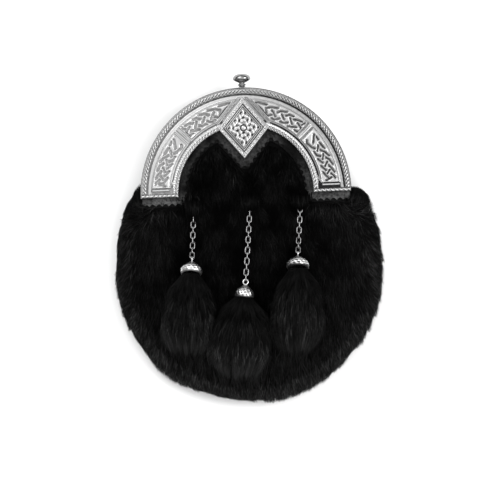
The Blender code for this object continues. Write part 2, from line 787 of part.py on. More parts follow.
def make_cantle(material, collection, tools):
    """One casting: the ring, its raised panels and bars, and the lozenge."""
    part = add_part("cantle", cantle_ring_mesh(), material, collection, 30)
    divider = math.radians(DIVIDER_ANGLE)
    half_bar = DIVIDER_WIDTH / 2 + PANEL_MARGIN
    bm = bmesh.new()
    for mirrored in (False, True):
        add_plait_panel(
            bm,
            lambda radius: lozenge_angle(radius, LOZENGE_BORDER),
            lambda radius: divider + half_bar / radius,
            mirrored)
        add_plait_panel(
            bm,
            lambda radius: divider - half_bar / radius,
            lambda radius: math.asin((FOOT_BAR_UP + FOOT_BAR_WIDTH) / radius),
            mirrored)
        side = -1.0 if mirrored else 1.0
        height = CANTLE_WEB / 2 + CANTLE_RELIEF * BAR_RELIEF
        add_bar(bm, DIVIDER_ACROSS, DIVIDER_WIDTH, height, side, 0.0, divider)
        add_bar(bm, FOOT_BAR_ACROSS, FOOT_BAR_WIDTH, height, side, FOOT_BAR_UP, 0.0)
        add_bar(bm, FOOT_BORDER_ACROSS, 2.0 * FOOT_DROP - GAP, height, side, 0.0, 0.0)
    bmesh.ops.recalc_face_normals(bm, faces=bm.faces)
    relief = add_tool("cantle_relief", mesh_from_bmesh("cantle_relief", bm), tools)
    add_boolean(part, relief, 'UNION')
    bm = bmesh.new()
    add_lozenge(bm)
    bmesh.ops.recalc_face_normals(bm, faces=bm.faces)
    lozenge = add_tool("lozenge", mesh_from_bmesh("lozenge", bm), tools)
    bm = bmesh.new()
    add_lozenge_bosses(bm)
    bosses = add_tool("lozenge_bosses", mesh_from_bmesh("lozenge_bosses", bm), tools)
    add_boolean(lozenge, bosses, 'UNION')
    add_boolean(part, lozenge, 'UNION')


def make_knob(material, collection):
    profile = [(KNOB_RADIUS * r, KNOB_HEIGHT * z) for r, z in KNOB_PROFILE]
    part = add_part("knob", turned_mesh("knob", profile), material, collection)
    part.location = (0.0, CANTLE_RADIUS + GAP, CANTLE_LOW + CANTLE_WEB / 2)
    part.rotation_euler = (math.radians(-90.0), 0.0, 0.0)
    add_screw(part, TURNED_STEPS)


# Chains, caps and tassels

def frame_matrix(origin, along, up):
    """Local X along a direction, local Z as near to up as it can be."""
    x = along.normalized()
    y = up.cross(x).normalized()
    z = x.cross(y)
    return Matrix.Translation(origin) @ Matrix((x, y, z)).transposed().to_4x4()


def chain_point(start, end, along):
    """A point of a chain's middle line, which lies on the fur and climbs to the cap's eye."""
    length = math.dist(start, end)
    x = start[0] + (end[0] - start[0]) * along / length
    y = start[1] + (end[1] - start[1]) * along / length
    climb = smooth_step((along - length + CHAIN_CLIMB) / CHAIN_CLIMB)
    height = CHAIN_HEIGHT + (EYE_HEIGHT - CHAIN_HEIGHT) * climb
    return Vector((x, y, fur_height(x, y) + height))


def walk_chain(start, end, distance):
    """The place at a distance along the chain's middle line, and its direction there."""
    along = 0.0
    gone = 0.0
    here = chain_point(start, end, 0.0)
    while gone < distance:
        there = chain_point(start, end, along + CHAIN_STEP)
        gone += (there - here).length
        along += CHAIN_STEP
        here = there
    ahead = chain_point(start, end, along + LINK_WIRE) - chain_point(start, end, along - LINK_WIRE)
    return here, ahead.normalized()


def make_chain(row, link_mesh, eye_mesh, material, collection, tools):
    """Anchor and links; returns the place, direction and turn of the cap's eye."""
    name, start, end = row
    links = 1 + round((math.dist(start, end) - 2.0 * EYE_REACH) / LINK_PITCH)
    up = Vector((0.0, 0.0, 1.0))
    quarter = Matrix.Rotation(math.pi / 2, 4, 'X')
    place, ahead = walk_chain(start, end, 0.0)
    below = CHAIN_HEIGHT - ANCHOR_GAP - ANCHOR_THICKNESS / 2
    seat = frame_matrix(place, ahead, up) @ Matrix.Translation((0.0, 0.0, -below))
    bm = bmesh.new()
    bmesh.ops.create_cone(bm, cap_ends=True, segments=10, radius1=ANCHOR_RADIUS,
                          radius2=ANCHOR_RADIUS, depth=ANCHOR_THICKNESS, matrix=seat)
    anchor = add_part("chain_anchor_" + name, mesh_from_bmesh("anchor", bm), material,
                      collection, 40)
    eye = add_tool("anchor_eye_" + name, eye_mesh, tools)
    eye.matrix_world = frame_matrix(place, ahead, up) @ quarter
    add_boolean(anchor, eye, 'UNION')
    distance = EYE_REACH
    for number in range(links):
        place, ahead = walk_chain(start, end, distance)
        link = add_part(f"chain_{name}_{number + 1:02d}", link_mesh, material, collection)
        link.matrix_world = frame_matrix(place, ahead, up)
        if number % 2:
            link.matrix_world = link.matrix_world @ quarter
        distance += LINK_PITCH
    place, ahead = walk_chain(start, end, distance - LINK_PITCH + EYE_REACH)
    return place, ahead, links % 2 == 1


def make_tassel(row, eye, eye_mesh, metal, fur, collection, tools):
    name, radius, height, length, half_width, tip = row
    place, ahead, standing = eye
    up = Vector((0.0, 0.0, 1.0))
    heading = Vector((tip[0] - place.x, tip[1] - place.y, 0.0)).normalized()
    top = place + ahead * (EYE_RADIUS + LINK_WIRE / 4)
    rim_xy = top + heading * height
    rim = Vector((rim_xy.x, rim_xy.y, fur_height(rim_xy.x, rim_xy.y) + radius + 1.5 * GAP))
    axis = (top - rim).normalized()
    profile = [(radius * r, -height * z) for r, z in CAP_PROFILE]
    cap = add_part("tassel_cap_" + name, turned_mesh("cap_" + name, profile), metal, collection)
    cap.matrix_world = Matrix.Translation(top) @ axis.to_track_quat('Z', 'Y').to_matrix().to_4x4()
    add_screw(cap, TURNED_STEPS)
    ring = add_tool("cap_eye_" + name, eye_mesh, tools)
    ring.matrix_world = frame_matrix(place, ahead, up)
    if standing:
        ring.matrix_world = ring.matrix_world @ Matrix.Rotation(math.pi / 2, 4, 'X')
    add_boolean(cap, ring, 'UNION')
    make_tassel_fur(name, rim, heading, radius, length, half_width, fur, collection)


def make_tassel_fur(name, rim, heading, cap_radius, length, half_width, material, collection):
    """Sections across the hanging fur: domed above, and resting on the pelt below."""
    side = Vector((-heading.y, heading.x, 0.0))
    head_up = rim.z - fur_height(rim.x, rim.y)
    rings = []
    for row, (along, width, depth, lift, roundness) in enumerate(TASSEL_SECTIONS):
        centre = rim + heading * (along * length - TASSEL_RECESS)
        half = half_width * width
        thick = TASSEL_DEPTH * depth
        if row < 2:
            half = TASSEL_HEAD * cap_radius + row * GAP
            thick = 2.0 * half
        ring = []
        for k in range(TASSEL_POINTS):
            angle = 2.0 * math.pi * (k + 0.5) / TASSEL_POINTS
            lock = 1.0 if row < 2 or k % 2 else TASSEL_HOLLOW
            offset = half * math.cos(angle) * lock
            drop = LOCK_TIP if row >= len(TASSEL_SECTIONS) - 2 and k % 2 else 0.0
            spot = centre + side * offset + heading * drop
            below = fur_height(spot.x, spot.y) * (1.0 - lift) + fur_height(rim.x, rim.y) * lift
            middle = below + (thick / 2 + TASSEL_CLEARANCE) * (1.0 - lift) + head_up * lift
            bend = math.sin(angle)
            if bend < 0.0:
                bend = -abs(bend) ** roundness
            ring.append((spot.x, spot.y, middle + thick / 2 * bend * (lock if bend > 0 else 1.0)))
        rings.append(ring)
    mesh = mesh_from_bmesh("tassel_fur_" + name, loft_bmesh(rings))
    add_part("tassel_fur_" + name, mesh, material, collection, 60)


# Back fittings

def make_strap_ring(name, side, material, collection):
    """A D of round wire, its straight bar held by the tab."""
    arc = [(RING_REACH * math.sin(a), -RING_HALF_WIDTH * math.cos(a))
           for a in np.linspace(0.0, math.pi, 11)]
    curve = bpy.data.curves.new(name, 'CURVE')
    curve.dimensions = '3D'
    curve.bevel_depth = RING_WIRE / 2
    curve.bevel_resolution = 1
    spline = curve.splines.new('POLY')
    spline.points.add(len(arc) - 1)
    for point, (x, y) in zip(spline.points, arc):
        point.co = (side * x, y, 0.0, 1.0)
    spline.use_cyclic_u = True
    mesh = mesh_from_curve(name, curve, Matrix.Translation((side * RING_OUT, RING_UP, tab_axis())))
    add_part(name, mesh, material, collection, 60)


def tab_axis():
    """Height of the ring's bar, so that the tab's loop meets the back panel."""
    return BACK_LIFT - GAP - (RING_WIRE / 2 + GAP + TAB_LEATHER)


def make_ring_tab(name, side, material, collection):
    """A strip under the back panel, looped round the ring's bar."""
    inner = RING_WIRE / 2 + GAP
    outer = inner + TAB_LEATHER
    turn = [math.radians(angle) for angle in range(90, -181, -30)]
    loop = [(outer * math.cos(t), outer * math.sin(t)) for t in turn]
    strip = [(-TAB_LENGTH, inner), (-TAB_LENGTH, outer)]
    neck = [(-outer * 0.92, inner)]
    hole = [(inner * math.cos(t), inner * math.sin(t))
            for t in np.linspace(0.0, 2.0 * math.pi, 10, endpoint=False)]
    stand = Matrix.Rotation(math.pi / 2, 4, 'X')
    place = Matrix.Translation((side * RING_OUT, RING_UP, tab_axis()))
    mesh = plate_mesh(name, [strip + loop + neck, hole], TAB_WIDTH, place @ flip(side) @ stand)
    if side < 0.0:
        mesh.flip_normals()
    add_part(name, mesh, material, collection)


def flip(side):
    return Matrix.Diagonal((side, 1.0, 1.0, 1.0))


def make_press_stud(material, collection):
    low = BACK_LIFT + LEATHER + GAP
    tall = FRONT_UNDER - GAP - low
    profile = [(STUD_RADIUS * r, tall * z) for r, z in STUD_PROFILE]
    part = add_part("press_stud", turned_mesh("press_stud", profile), material, collection)
    part.location = (0.0, CANTLE_RADIUS - STUD_INSET, low)
    add_screw(part, TURNED_STEPS)


# The whole pouch

def main():
    clear_scene()
    parts = make_collection("sporran_pouch")
    tools = make_collection("cutters_and_guides")
    silver = make_material("cast_silver", (0.62, 0.62, 0.62), 0.28, 1.0)
    steel = make_material("nickel_plate", (0.66, 0.66, 0.66), 0.22, 1.0)
    leather = make_material("black_leather", (0.018, 0.018, 0.018), 0.55, 0.0)
    fur = make_material("black_fur", (0.010, 0.010, 0.010), 0.7, 0.0)
    make_back_panel(leather, parts)
    make_gusset(leather, parts)
    make_front_panel(leather, parts)
    make_leather_backing(leather, parts)
    make_cantle(silver, parts, tools)
    make_knob(silver, parts)
    make_fur_cover(fur, parts, tools)
    make_press_stud(steel, parts)
    for name, side in (("left", -1.0), ("right", 1.0)):
        make_strap_ring("strap_ring_" + name, side, steel, parts)
        make_ring_tab("ring_tab_" + name, side, leather, parts)
    link = torus_mesh("link", (LINK_WIDTH - LINK_WIRE) / 2, LINK_WIRE / 2,
                      LINK_LENGTH - LINK_WIDTH)
    eye = torus_mesh("eye", EYE_RADIUS, LINK_WIRE / 2)
    for chain, tassel in zip(CHAINS, TASSELS):
        end = make_chain(chain, link, eye, silver, parts, tools)
        make_tassel(tassel, end, eye, silver, fur, parts, tools)


main()
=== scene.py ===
"""A black fur dress sporran on a white table, seen from straight above.

It lies on its back: +Z is its front and +Y its top. Shapes are worked out in millimetres and
become metres with their mesh; camera, lights and materials are in metres. The sizes repeat
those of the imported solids.
"""

import math

import bmesh
import bpy
import numpy as np
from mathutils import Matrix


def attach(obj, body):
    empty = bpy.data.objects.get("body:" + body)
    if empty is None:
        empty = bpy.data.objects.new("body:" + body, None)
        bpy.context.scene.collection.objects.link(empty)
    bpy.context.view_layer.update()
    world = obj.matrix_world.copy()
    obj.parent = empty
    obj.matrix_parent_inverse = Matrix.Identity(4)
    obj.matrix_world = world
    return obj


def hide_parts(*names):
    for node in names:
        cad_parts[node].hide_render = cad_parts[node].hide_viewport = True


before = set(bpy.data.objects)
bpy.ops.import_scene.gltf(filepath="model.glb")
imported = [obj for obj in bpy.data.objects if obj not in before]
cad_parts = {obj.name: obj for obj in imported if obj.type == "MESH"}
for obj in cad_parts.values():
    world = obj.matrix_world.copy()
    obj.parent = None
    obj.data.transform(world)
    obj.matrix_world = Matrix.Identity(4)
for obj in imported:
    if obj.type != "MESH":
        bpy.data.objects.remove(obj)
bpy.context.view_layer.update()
MM = 0.001


# Camera. A long lens straight above; the picture takes in 360 mm of the table and is turned
# by 2.2 degrees, as the pouch is in the photo.

camera_data = bpy.data.cameras.new("camera")
camera_data.lens = 160.0
camera_data.sensor_width = 36.0
camera = bpy.data.objects.new("camera", camera_data)
bpy.context.scene.collection.objects.link(camera)
camera.location = (0.0013, -0.0411, 1.62)
camera.rotation_euler = (0.0, 0.0, math.radians(-2.2))
bpy.context.scene.camera = camera
bpy.context.scene.view_settings.view_transform = 'Standard'


# Floor. White card, lit until it is almost without shadow.

def linear(code):
    """A #rrggbb screen colour as the linear RGBA that a shader takes."""
    values = [int(code[i:i + 2], 16) / 255 for i in (1, 3, 5)]
    return (*[v / 12.92 if v <= 0.04045 else ((v + 0.055) / 1.055) ** 2.4 for v in values], 1.0)


def fill(tree, node, inputs):
    """Sets a node's inputs by name or number; an output given as a value is linked."""
    for key, value in inputs.items():
        if isinstance(value, bpy.types.NodeSocket):
            tree.links.new(value, node.inputs[key])
        else:
            node.inputs[key].default_value = value


def add_node(tree, kind, inputs=(), **settings):
    """A shader node with its settings made and its inputs filled or linked."""
    node = tree.nodes.new("ShaderNode" + kind)
    for key, value in settings.items():
        setattr(node, key, value)
    fill(tree, node, dict(inputs))
    return node


def new_material(name, **inputs):
    """A material with its tree, its shader and the place on the object. Shader inputs are set
    by name, a space being written as _."""
    material = bpy.data.materials.new(name)
    material.use_nodes = True
    tree = material.node_tree
    shader = tree.nodes["Principled BSDF"]
    fill(tree, shader, {key.replace("_", " "): value for key, value in inputs.items()})
    return material, tree, shader, add_node(tree, "TexCoord").outputs["Object"]


bpy.ops.mesh.primitive_plane_add(size=6.0, location=(0.0, 0.0, -0.2 * MM))
floor = bpy.context.object
floor.name = "floor"
# White card: matt, with a tooth of about 1 mm that hardly shows
card, tree, shader, place = new_material("white_card", Base_Color=linear("#f7f7f7"),
                                         Roughness=0.9)
tooth = add_node(tree, "TexNoise", {"Scale": 900.0, "Detail": 2.0, "Vector": place})
bump = add_node(tree, "Bump", {"Strength": 0.05, "Distance": 0.2 * MM,
                               "Height": tooth.outputs["Fac"]})
fill(tree, shader, {"Normal": bump.outputs["Normal"]})
floor.data.materials.append(card)


# Light. A studio tent that is bright overhead and darker towards its foot, with one large
# soft box at the upper left and a weaker one at the right.

world = bpy.data.worlds.new("studio")
bpy.context.scene.world = world
world.use_nodes = True
tree = world.node_tree
split = add_node(tree, "SeparateXYZ", {0: add_node(tree, "TexCoord").outputs["Generated"]})
lift = add_node(tree, "MapRange", {"Value": split.outputs["Z"], "From Min": 0.15,
                                   "From Max": 0.80, "To Min": 0.10, "To Max": 1.32},
                interpolation_type='SMOOTHSTEP')
fill(tree, tree.nodes["Background"], {"Color": linear("#ffffff"),
                                      "Strength": lift.outputs["Result"]})


def add_soft_box(name, location, size, energy):
    """A square area light that faces the origin; size in metres, energy in watts."""
    data = bpy.data.lights.new(name, 'AREA')
    data.size = size
    data.energy = energy
    light = bpy.data.objects.new(name, data)
    bpy.context.scene.collection.objects.link(light)
    light.location = location
    light.rotation_euler = (-light.location).to_track_quat('-Z', 'Y').to_euler()


add_soft_box("key", (-0.7, 1.1, 1.3), 1.2, 15.0)
add_soft_box("fill", (1.2, 0.1, 1.2), 0.8, 15.0)


# Leather panels. Back and front of the pouch are 2 mm cowhide, dyed black through and
# pressed with a fine pebble grain; a line of waxed thread runs round the back's rim. Their
# outline is the arc of the top, an easing flank and half an ellipse.

ARC_MM = 72.0  # radius of the top
WIDEST_MM = 57.0  # from the arc's centre down to the widest place
HALF_WIDTH_MM = 87.0  # there
DROP_MM = 130.0  # from the arc's centre down to the foot
ARCH_MM = 42.5  # inner radius of the leather under the cantle
FOOT_MM = -7.3  # y of that leather's feet
FRONT_MM = 17.0  # level of the front panel under the cantle
HIDE_MM = 2.0  # thickness of the hide


def smooth_step(value, start=0.0, full=1.0):
    """0 at start and 1 at full, easing between."""
    t = np.clip((value - start) / (full - start), 0.0, 1.0)
    return t * t * (3.0 - 2.0 * t)


def band(value, start, full, fall, end):
    """1 from full to fall, easing to 0 at start and at end."""
    return smooth_step(value, start, full) * (1.0 - smooth_step(value, fall, end))


def outline_half_width(y, drop, side):
    """Half width at a height y in mm, side mm outside the leather's. The arc gives it above
    the centre, a flank that eases out to the widest place, and an ellipse down to the drop."""
    y = np.asarray(y, float)
    arc = np.sqrt(np.maximum(ARC_MM ** 2 - y ** 2, 0.0)) + side
    ease = 1.0 - np.clip(1.0 + y / WIDEST_MM, 0.0, 1.0) ** 3.2
    flank = ARC_MM + (HALF_WIDTH_MM - ARC_MM) * ease + side
    down = np.clip((-y - WIDEST_MM) / (drop - WIDEST_MM), 0.0, 1.0)
    ellipse = (HALF_WIDTH_MM + side) * np.sqrt(1.0 - down ** 2)
    return np.where(y >= 0.0, arc, np.where(y > -WIDEST_MM, flank, ellipse))


def reach(x, y, drop, side):
    """0 on the middle line and 1 on the outline, on flank and ellipse alike."""
    across = np.abs(x) / np.maximum(outline_half_width(y, drop, side), 0.3)
    below = np.hypot(x / (HALF_WIDTH_MM + side), (-y - WIDEST_MM) / (drop - WIDEST_MM))
    return np.clip(np.where(y > -WIDEST_MM, across, below), 0.0, 1.0)


def front_height(x, y):
    """Outer face of the front panel in mm: flat under the cantle, then the belly's dome."""
    spread = np.maximum(1.0 - (x / ARCH_MM) ** 2, 0.0) ** 2
    rise = smooth_step((FOOT_MM + 17.0 * spread - y) / 60.0)
    return FRONT_MM + 14.0 * rise * (1.0 - reach(x, y, DROP_MM, 0.0) ** 2.6)


def back_height(x, y):
    """Outer face of the back panel in mm: flat on the table, up at the rim, lifted on top."""
    lift = 5.6 * smooth_step((y - 10.02) / 15.78)
    fade = 1.0 - smooth_step((y + 20.0) / 30.02)
    return lift + 3.0 * fade * smooth_step((reach(x, y, DROP_MM, 0.0) - 0.8) / 0.2)


def set_on_root(name, mesh, material, nodes):
    """A mesh made a piece on the body root, in place of CAD nodes if it has any."""
    piece = bpy.data.objects.new(name, mesh)
    bpy.context.scene.collection.objects.link(piece)
    mesh.materials.append(material)
    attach(piece, "root")
    if nodes:
        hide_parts(*nodes)
    return piece


def add_piece(name, points_mm, faces, material, nodes, smooth_angle=180.0, weld=True):
    """A piece from points in mm and rows of corners, its faces outward."""
    mesh = bpy.data.meshes.new(name)
    points = np.ascontiguousarray(points_mm, np.float32) * MM
    faces = np.ascontiguousarray(faces, np.int32)
    mesh.vertices.add(len(points))
    mesh.vertices.foreach_set("co", points.ravel())
    mesh.loops.add(faces.size)
    mesh.loops.foreach_set("vertex_index", faces.ravel())
    mesh.polygons.add(len(faces))
    mesh.polygons.foreach_set("loop_start", np.arange(0, faces.size, faces.shape[1]))
    mesh.update(calc_edges=True)
    if weld:
        bm = bmesh.new()
        bm.from_mesh(mesh)
        bmesh.ops.remove_doubles(bm, verts=bm.verts, dist=0.002 * MM)
        bm.to_mesh(mesh)
        bm.free()
    mesh.shade_smooth()
    if smooth_angle < 180.0:
        mesh.set_sharp_from_angle(angle=math.radians(smooth_angle))
    return set_on_root(name, mesh, material, nodes)


def outwards(piece):
    """Turns every face of a closed piece outwards."""
    bm = bmesh.new()
    bm.from_mesh(piece.data)
    bmesh.ops.recalc_face_normals(bm, faces=bm.faces)
    bm.to_mesh(piece.data)
    bm.free()


def grid_faces(rows, columns, wrap_rows=False, wrap_columns=False):
    """Quads between the points of a grid that is stored row by row."""
    r = np.arange(rows if wrap_rows else rows - 1)[:, None]
    c = np.arange(columns if wrap_columns else columns - 1)[None, :]
    below = (r + 1) % rows
    beside = (c + 1) % columns
    corners = (r * columns + c, below * columns + c, below * columns + beside,
               r * columns + beside)
    return np.stack(corners, axis=-1).reshape(-1, 4)


def leather_material(name, colour, grain_mm, roughness, gloss, painted_light_range=(0.0, 0.0)):
    """Pebbled hide: cells with creases between them, over slow changes of the dye. The last
    pair is added to the dye above and below the level of the cantle's feet, as painted shade
    where it is below zero and painted light where it is above."""
    material, tree, shader, place = new_material(name, Specular_IOR_Level=gloss)
    cells = add_node(tree, "TexVoronoi", {"Scale": 1.0 / (grain_mm * MM), "Vector": place},
                     feature='DISTANCE_TO_EDGE')
    crease = add_node(tree, "MapRange", {"Value": cells.outputs["Distance"], "From Max": 0.25})
    pores = add_node(tree, "TexNoise", {"Scale": 1.0 / (grain_mm * MM), "Vector": place})
    height = add_node(tree, "Mix", {0: 0.3, 2: crease.outputs["Result"],
                                    3: pores.outputs["Fac"]})
    bump = add_node(tree, "Bump", {"Strength": 0.55, "Distance": 0.12 * MM,
                                   "Height": height.outputs[0]})
    dye = add_node(tree, "TexNoise", {"Scale": 45.0, "Detail": 4.0, "Vector": place})
    side = add_node(tree, "SeparateXYZ", {0: place})
    # Painted shade and light: the dye shifted by height, by the last pair, above and below the
    # level of the cantle's feet
    painted_light_by_height = add_node(tree, "MapRange", {"Value": side.outputs["Y"], "From Min": 0.004,
                                       "From Max": -0.007, "To Min": painted_light_range[0],
                                       "To Max": painted_light_range[1]})
    level = add_node(tree, "Math", {0: dye.outputs["Fac"], 1: painted_light_by_height.outputs["Result"]})
    speck = add_node(tree, "MapRange", {"Value": pores.outputs["Fac"], "From Min": 0.3,
                                        "From Max": 0.7, "To Min": 0.2, "To Max": 1.8})
    level = add_node(tree, "Math", {0: level.outputs[0], 1: speck.outputs["Result"]},
                     operation='MULTIPLY')
    tone = add_node(tree, "Mix", {0: level.outputs[0], 6: linear(colour[0]),
                                  7: linear(colour[1])}, data_type='RGBA')
    shine = add_node(tree, "MapRange", {"Value": dye.outputs["Fac"], "To Min": roughness - 0.1,
                                        "To Max": roughness + 0.1})
    fill(tree, shader, {"Base Color": tone.outputs[2], "Normal": bump.outputs["Normal"],
                        "Roughness": shine.outputs["Result"]})
    return material


# Cowhide: nearly black with a dull sheen, broken by the pressed grain of 0.9 mm
panel_leather = leather_material("black_cowhide", ("#060606", "#0e0e0e"), 0.9, 0.6, 0.12)


def outline_levels(arc, flank, foot):
    """Heights down the outline in mm, from counts for its three parts: the arc and the
    ellipse by a sine, so that their ends are dense, and the flank evenly."""
    turn = math.pi / 2
    upper = ARC_MM * np.sin(np.linspace(turn, 0.0, arc))
    lower = (DROP_MM - WIDEST_MM) * np.sin(np.linspace(0.0, turn, foot))[1:]
    return np.concatenate((upper, np.linspace(0.0, -WIDEST_MM, flank)[1:], -WIDEST_MM - lower))


def panel_points(height, thickness):
    """Two faces of a panel, one on a surface of heights and one its thickness below, row by
    row from the arc to the foot and across by a sine, so that both edges are dense."""
    y = outline_levels(50, 40, 46)[:, None]
    share = np.sin(np.linspace(-math.pi / 2, math.pi / 2, 41))[None, :]
    x = outline_half_width(y, DROP_MM, 0.0) * share
    y = y + 0.0 * x
    z = height(x, y)
    top = np.stack((x, y, z), axis=-1)
    under = np.stack((x, y, z - thickness), axis=-1)
    return top, under


def add_panel(name, top, under):
    """Both faces of a panel in one closed grid, joined round the rim."""
    rows, columns = top.shape[:2]
    ring = np.concatenate((top, under[:, ::-1]), axis=1)
    faces = grid_faces(rows, 2 * columns, wrap_columns=True)
    return add_piece(name + "_hide", ring.reshape(-1, 3), faces, panel_leather,
                     [name], 50.0)


outer, inner = panel_points(front_height, HIDE_MM)
add_panel("front_panel", outer, inner)
outer, inner = panel_points(back_height, -HIDE_MM)
add_panel("back_panel", inner, outer)


def capsules(middle, along, up, length, radius, sides=6):
    """Short round-ended rods, each from its middle, its direction and its upright: rings of
    the shares of the radius that steps gives, at its shares of half the length."""
    steps = np.array([(-1.0, 0.0), (-0.9, 0.6), (-0.6, 1.0), (0.6, 1.0), (0.9, 0.6),
                      (1.0, 0.0)])
    turn = np.arange(sides) * 2.0 * math.pi / sides
    across = np.cross(up, along)
    spine = middle[:, None, :] + along[:, None, :] * (steps[:, 0] * length / 2)[None, :, None]
    rim = (across[:, None, :] * np.cos(turn)[None, :, None]
           + up[:, None, :] * np.sin(turn)[None, :, None])
    size = (steps[:, 1] * radius)[None, :, None, None]
    points = spine[:, :, None, :] + rim[:, None, :, :] * size
    one = grid_faces(len(steps), sides, wrap_columns=True)
    faces = one[None] + (np.arange(len(middle)) * len(steps) * sides)[:, None, None]
    return points.reshape(-1, 3), faces.reshape(-1, 4)


def unit(vectors):
    """Vectors over their length."""
    return vectors / np.maximum(np.linalg.norm(vectors, axis=-1, keepdims=True), 1e-9)


# Waxed linen thread: dark grey and dull, its plies showing as fine pale bands
thread, tree, shader, place = new_material("waxed_linen_thread", Roughness=0.6)
twist = add_node(tree, "TexWave", {"Scale": 900.0, "Distortion": 1.0, "Vector": place})
tone = add_node(tree, "Mix", {0: twist.outputs["Fac"], 6: linear("#161616"),
                              7: linear("#3a3a3a")}, data_type='RGBA')
fill(tree, shader, {"Base Color": tone.outputs[2]})


def rim_path(inset, step):
    """Evenly spaced places round the pouch's outline, moved inwards, with directions."""
    y = outline_levels(300, 200, 400)
    x = outline_half_width(y, DROP_MM, 0.0)
    path = np.concatenate((np.stack((x, y), 1), np.stack((-x, y), 1)[::-1][1:]))
    along = unit(np.gradient(path, axis=0))
    path = path + np.stack((along[:, 1], -along[:, 0]), 1) * inset
    gone = np.concatenate(([0.0], np.cumsum(np.hypot(*np.diff(path, axis=0).T))))
    places = np.arange(step, gone[-1] - step, step)
    spots = np.stack([np.interp(places, gone, path[:, k]) for k in (0, 1)], 1)
    return spots, unit(np.gradient(spots, axis=0))


SUNK_MM = 0.15  # of a stitch into the back; those nearer the table than 0.45 mm are hidden
spots, ahead = rim_path(5.0, 4.2)
height = back_height(spots[:, 0], spots[:, 1])
middle = np.column_stack((spots, height + SUNK_MM))
after = middle + np.column_stack((ahead, np.zeros(len(ahead))))
after[:, 2] = back_height(after[:, 0], after[:, 1]) + SUNK_MM
along = unit(after - middle)
up = unit(np.array([[0.0, 0.0, -1.0]]) + along * along[:, 2:])
keep = height > 0.45
points, faces = capsules(middle[keep], along[keep], up[keep], 3.2, 0.4)
add_piece("back_stitches", points, faces, thread, [], weld=False)


# Gusset. One folded strip of thinner leather joins the panels from foot to foot round the
# bottom; its fold shows past the cantle at the left shoulder.

def outward_of(x, y):
    """Unit outward direction of the leather's outline."""
    step = 0.05
    slope = (outline_half_width(y + step, DROP_MM, 0.0)
             - outline_half_width(y - step, DROP_MM, 0.0)) / (2.0 * step)
    return unit(np.stack((np.sign(x), -slope), axis=-1))


def add_gusset():
    """The leather's outline as a path, with a fold carried along it: out by a sine of the
    level between the panels, lightly creased, and 1.6 mm thick."""
    foot = (DROP_MM - WIDEST_MM) * np.sin(np.linspace(0.0, math.pi / 2, 90))[1:-1]
    levels = np.concatenate((np.linspace(13.0, -WIDEST_MM, 70), -WIDEST_MM - foot))
    half = outline_half_width(levels, DROP_MM, 0.0)
    right = np.stack((half, levels), 1)
    left = right[::-1] * (-1.0, 1.0)
    path = np.concatenate((right, [(0.0, -DROP_MM)], left))
    out = outward_of(path[:, 0], path[:, 1])
    out[len(right)] = (0.0, -1.0)
    low = back_height(path[:, 0], path[:, 1]) + HIDE_MM + 0.66
    high = FRONT_MM - HIDE_MM - 0.3
    crease = 0.25 * np.sin(np.arange(len(path)) * 0.9) * np.sin(np.arange(len(path)) * 0.23)
    t = np.linspace(0.0, 1.0, 13)
    fold = -0.8 + 4.2 * np.sin(math.pi * t) ** 0.8
    across = np.concatenate((fold, fold[::-1] - 1.6))
    level = np.concatenate((t, t[::-1]))
    push = across[None, :] + crease[:, None] * np.sin(math.pi * level)[None, :]
    count = len(across)
    points = np.empty((len(path), count, 3))
    points[..., :2] = path[:, None, :] + out[:, None, :] * push[..., None]
    points[..., 2] = low[:, None] + (high - low[:, None]) * level[None, :]
    faces = grid_faces(len(path), count, wrap_columns=True)
    k = np.arange(len(t) - 1)
    first = np.stack((k, k + 1, count - 2 - k, count - 1 - k), axis=1)
    ends = np.concatenate((first, (len(path) - 1) * count + first[:, [1, 0, 3, 2]]))
    add_piece("gusset_hide", points.reshape(-1, 3), np.concatenate((faces, ends)), panel_leather,
              ["gusset"], 50.0)


add_gusset()


# Leather backing. A plate of firm black leather under the cantle, its free edge cut with
# pinking shears; it hangs down under the lozenge and under each foot.

BACKING_MM = 75.0  # outer radius of the backing
TIP_MM = 18.4  # y of its edge under the lozenge, and half that edge's length
TIP_HALF_MM = 3.0
LOZENGE_WIDE_MM = 18.5  # half of the lozenge's width and of its height, and its centre
LOZENGE_TALL_MM = 22.2
LOZENGE_Y_MM = 46.8


def pinked(path, pitch, depth):
    """Rounded teeth along a path; the valleys, a power of a sine, are cut back to its left
    and fade out at both ends."""
    gone = np.concatenate(([0.0], np.cumsum(np.hypot(*np.diff(path, axis=0).T))))
    teeth = round(gone[-1] / pitch)
    places = np.linspace(0.0, gone[-1], teeth * 12 + 1)
    spots = np.stack([np.interp(places, gone, path[:, k]) for k in (0, 1)], 1)
    along = unit(np.gradient(spots, axis=0))
    valley = np.abs(np.sin(math.pi * np.linspace(0.0, teeth, teeth * 12 + 1))) ** 1.2
    valley *= np.clip(np.minimum(places, gone[-1] - places) / 3.5, 0.0, 1.0)
    return spots + np.stack((-along[:, 1], along[:, 0]), 1) * (depth * valley)[:, None]


def backing_inner_edge():
    """From beside the lozenge's tip up its slope, to where that line meets the arch, and down
    the right arc to the foot."""
    slope = LOZENGE_TALL_MM / LOZENGE_WIDE_MM
    a = 1.0 + slope ** 2
    b = slope * (TIP_MM - slope * TIP_HALF_MM)
    c = (TIP_MM - slope * TIP_HALF_MM) ** 2 - ARCH_MM ** 2
    meet = (-b + math.sqrt(b ** 2 - a * c)) / a
    t = np.linspace(math.acos(meet / ARCH_MM), math.asin(FOOT_MM / ARCH_MM), 60)
    arc = np.stack((ARCH_MM * np.cos(t), ARCH_MM * np.sin(t)), 1)
    return np.concatenate(([(TIP_HALF_MM, TIP_MM)], arc))


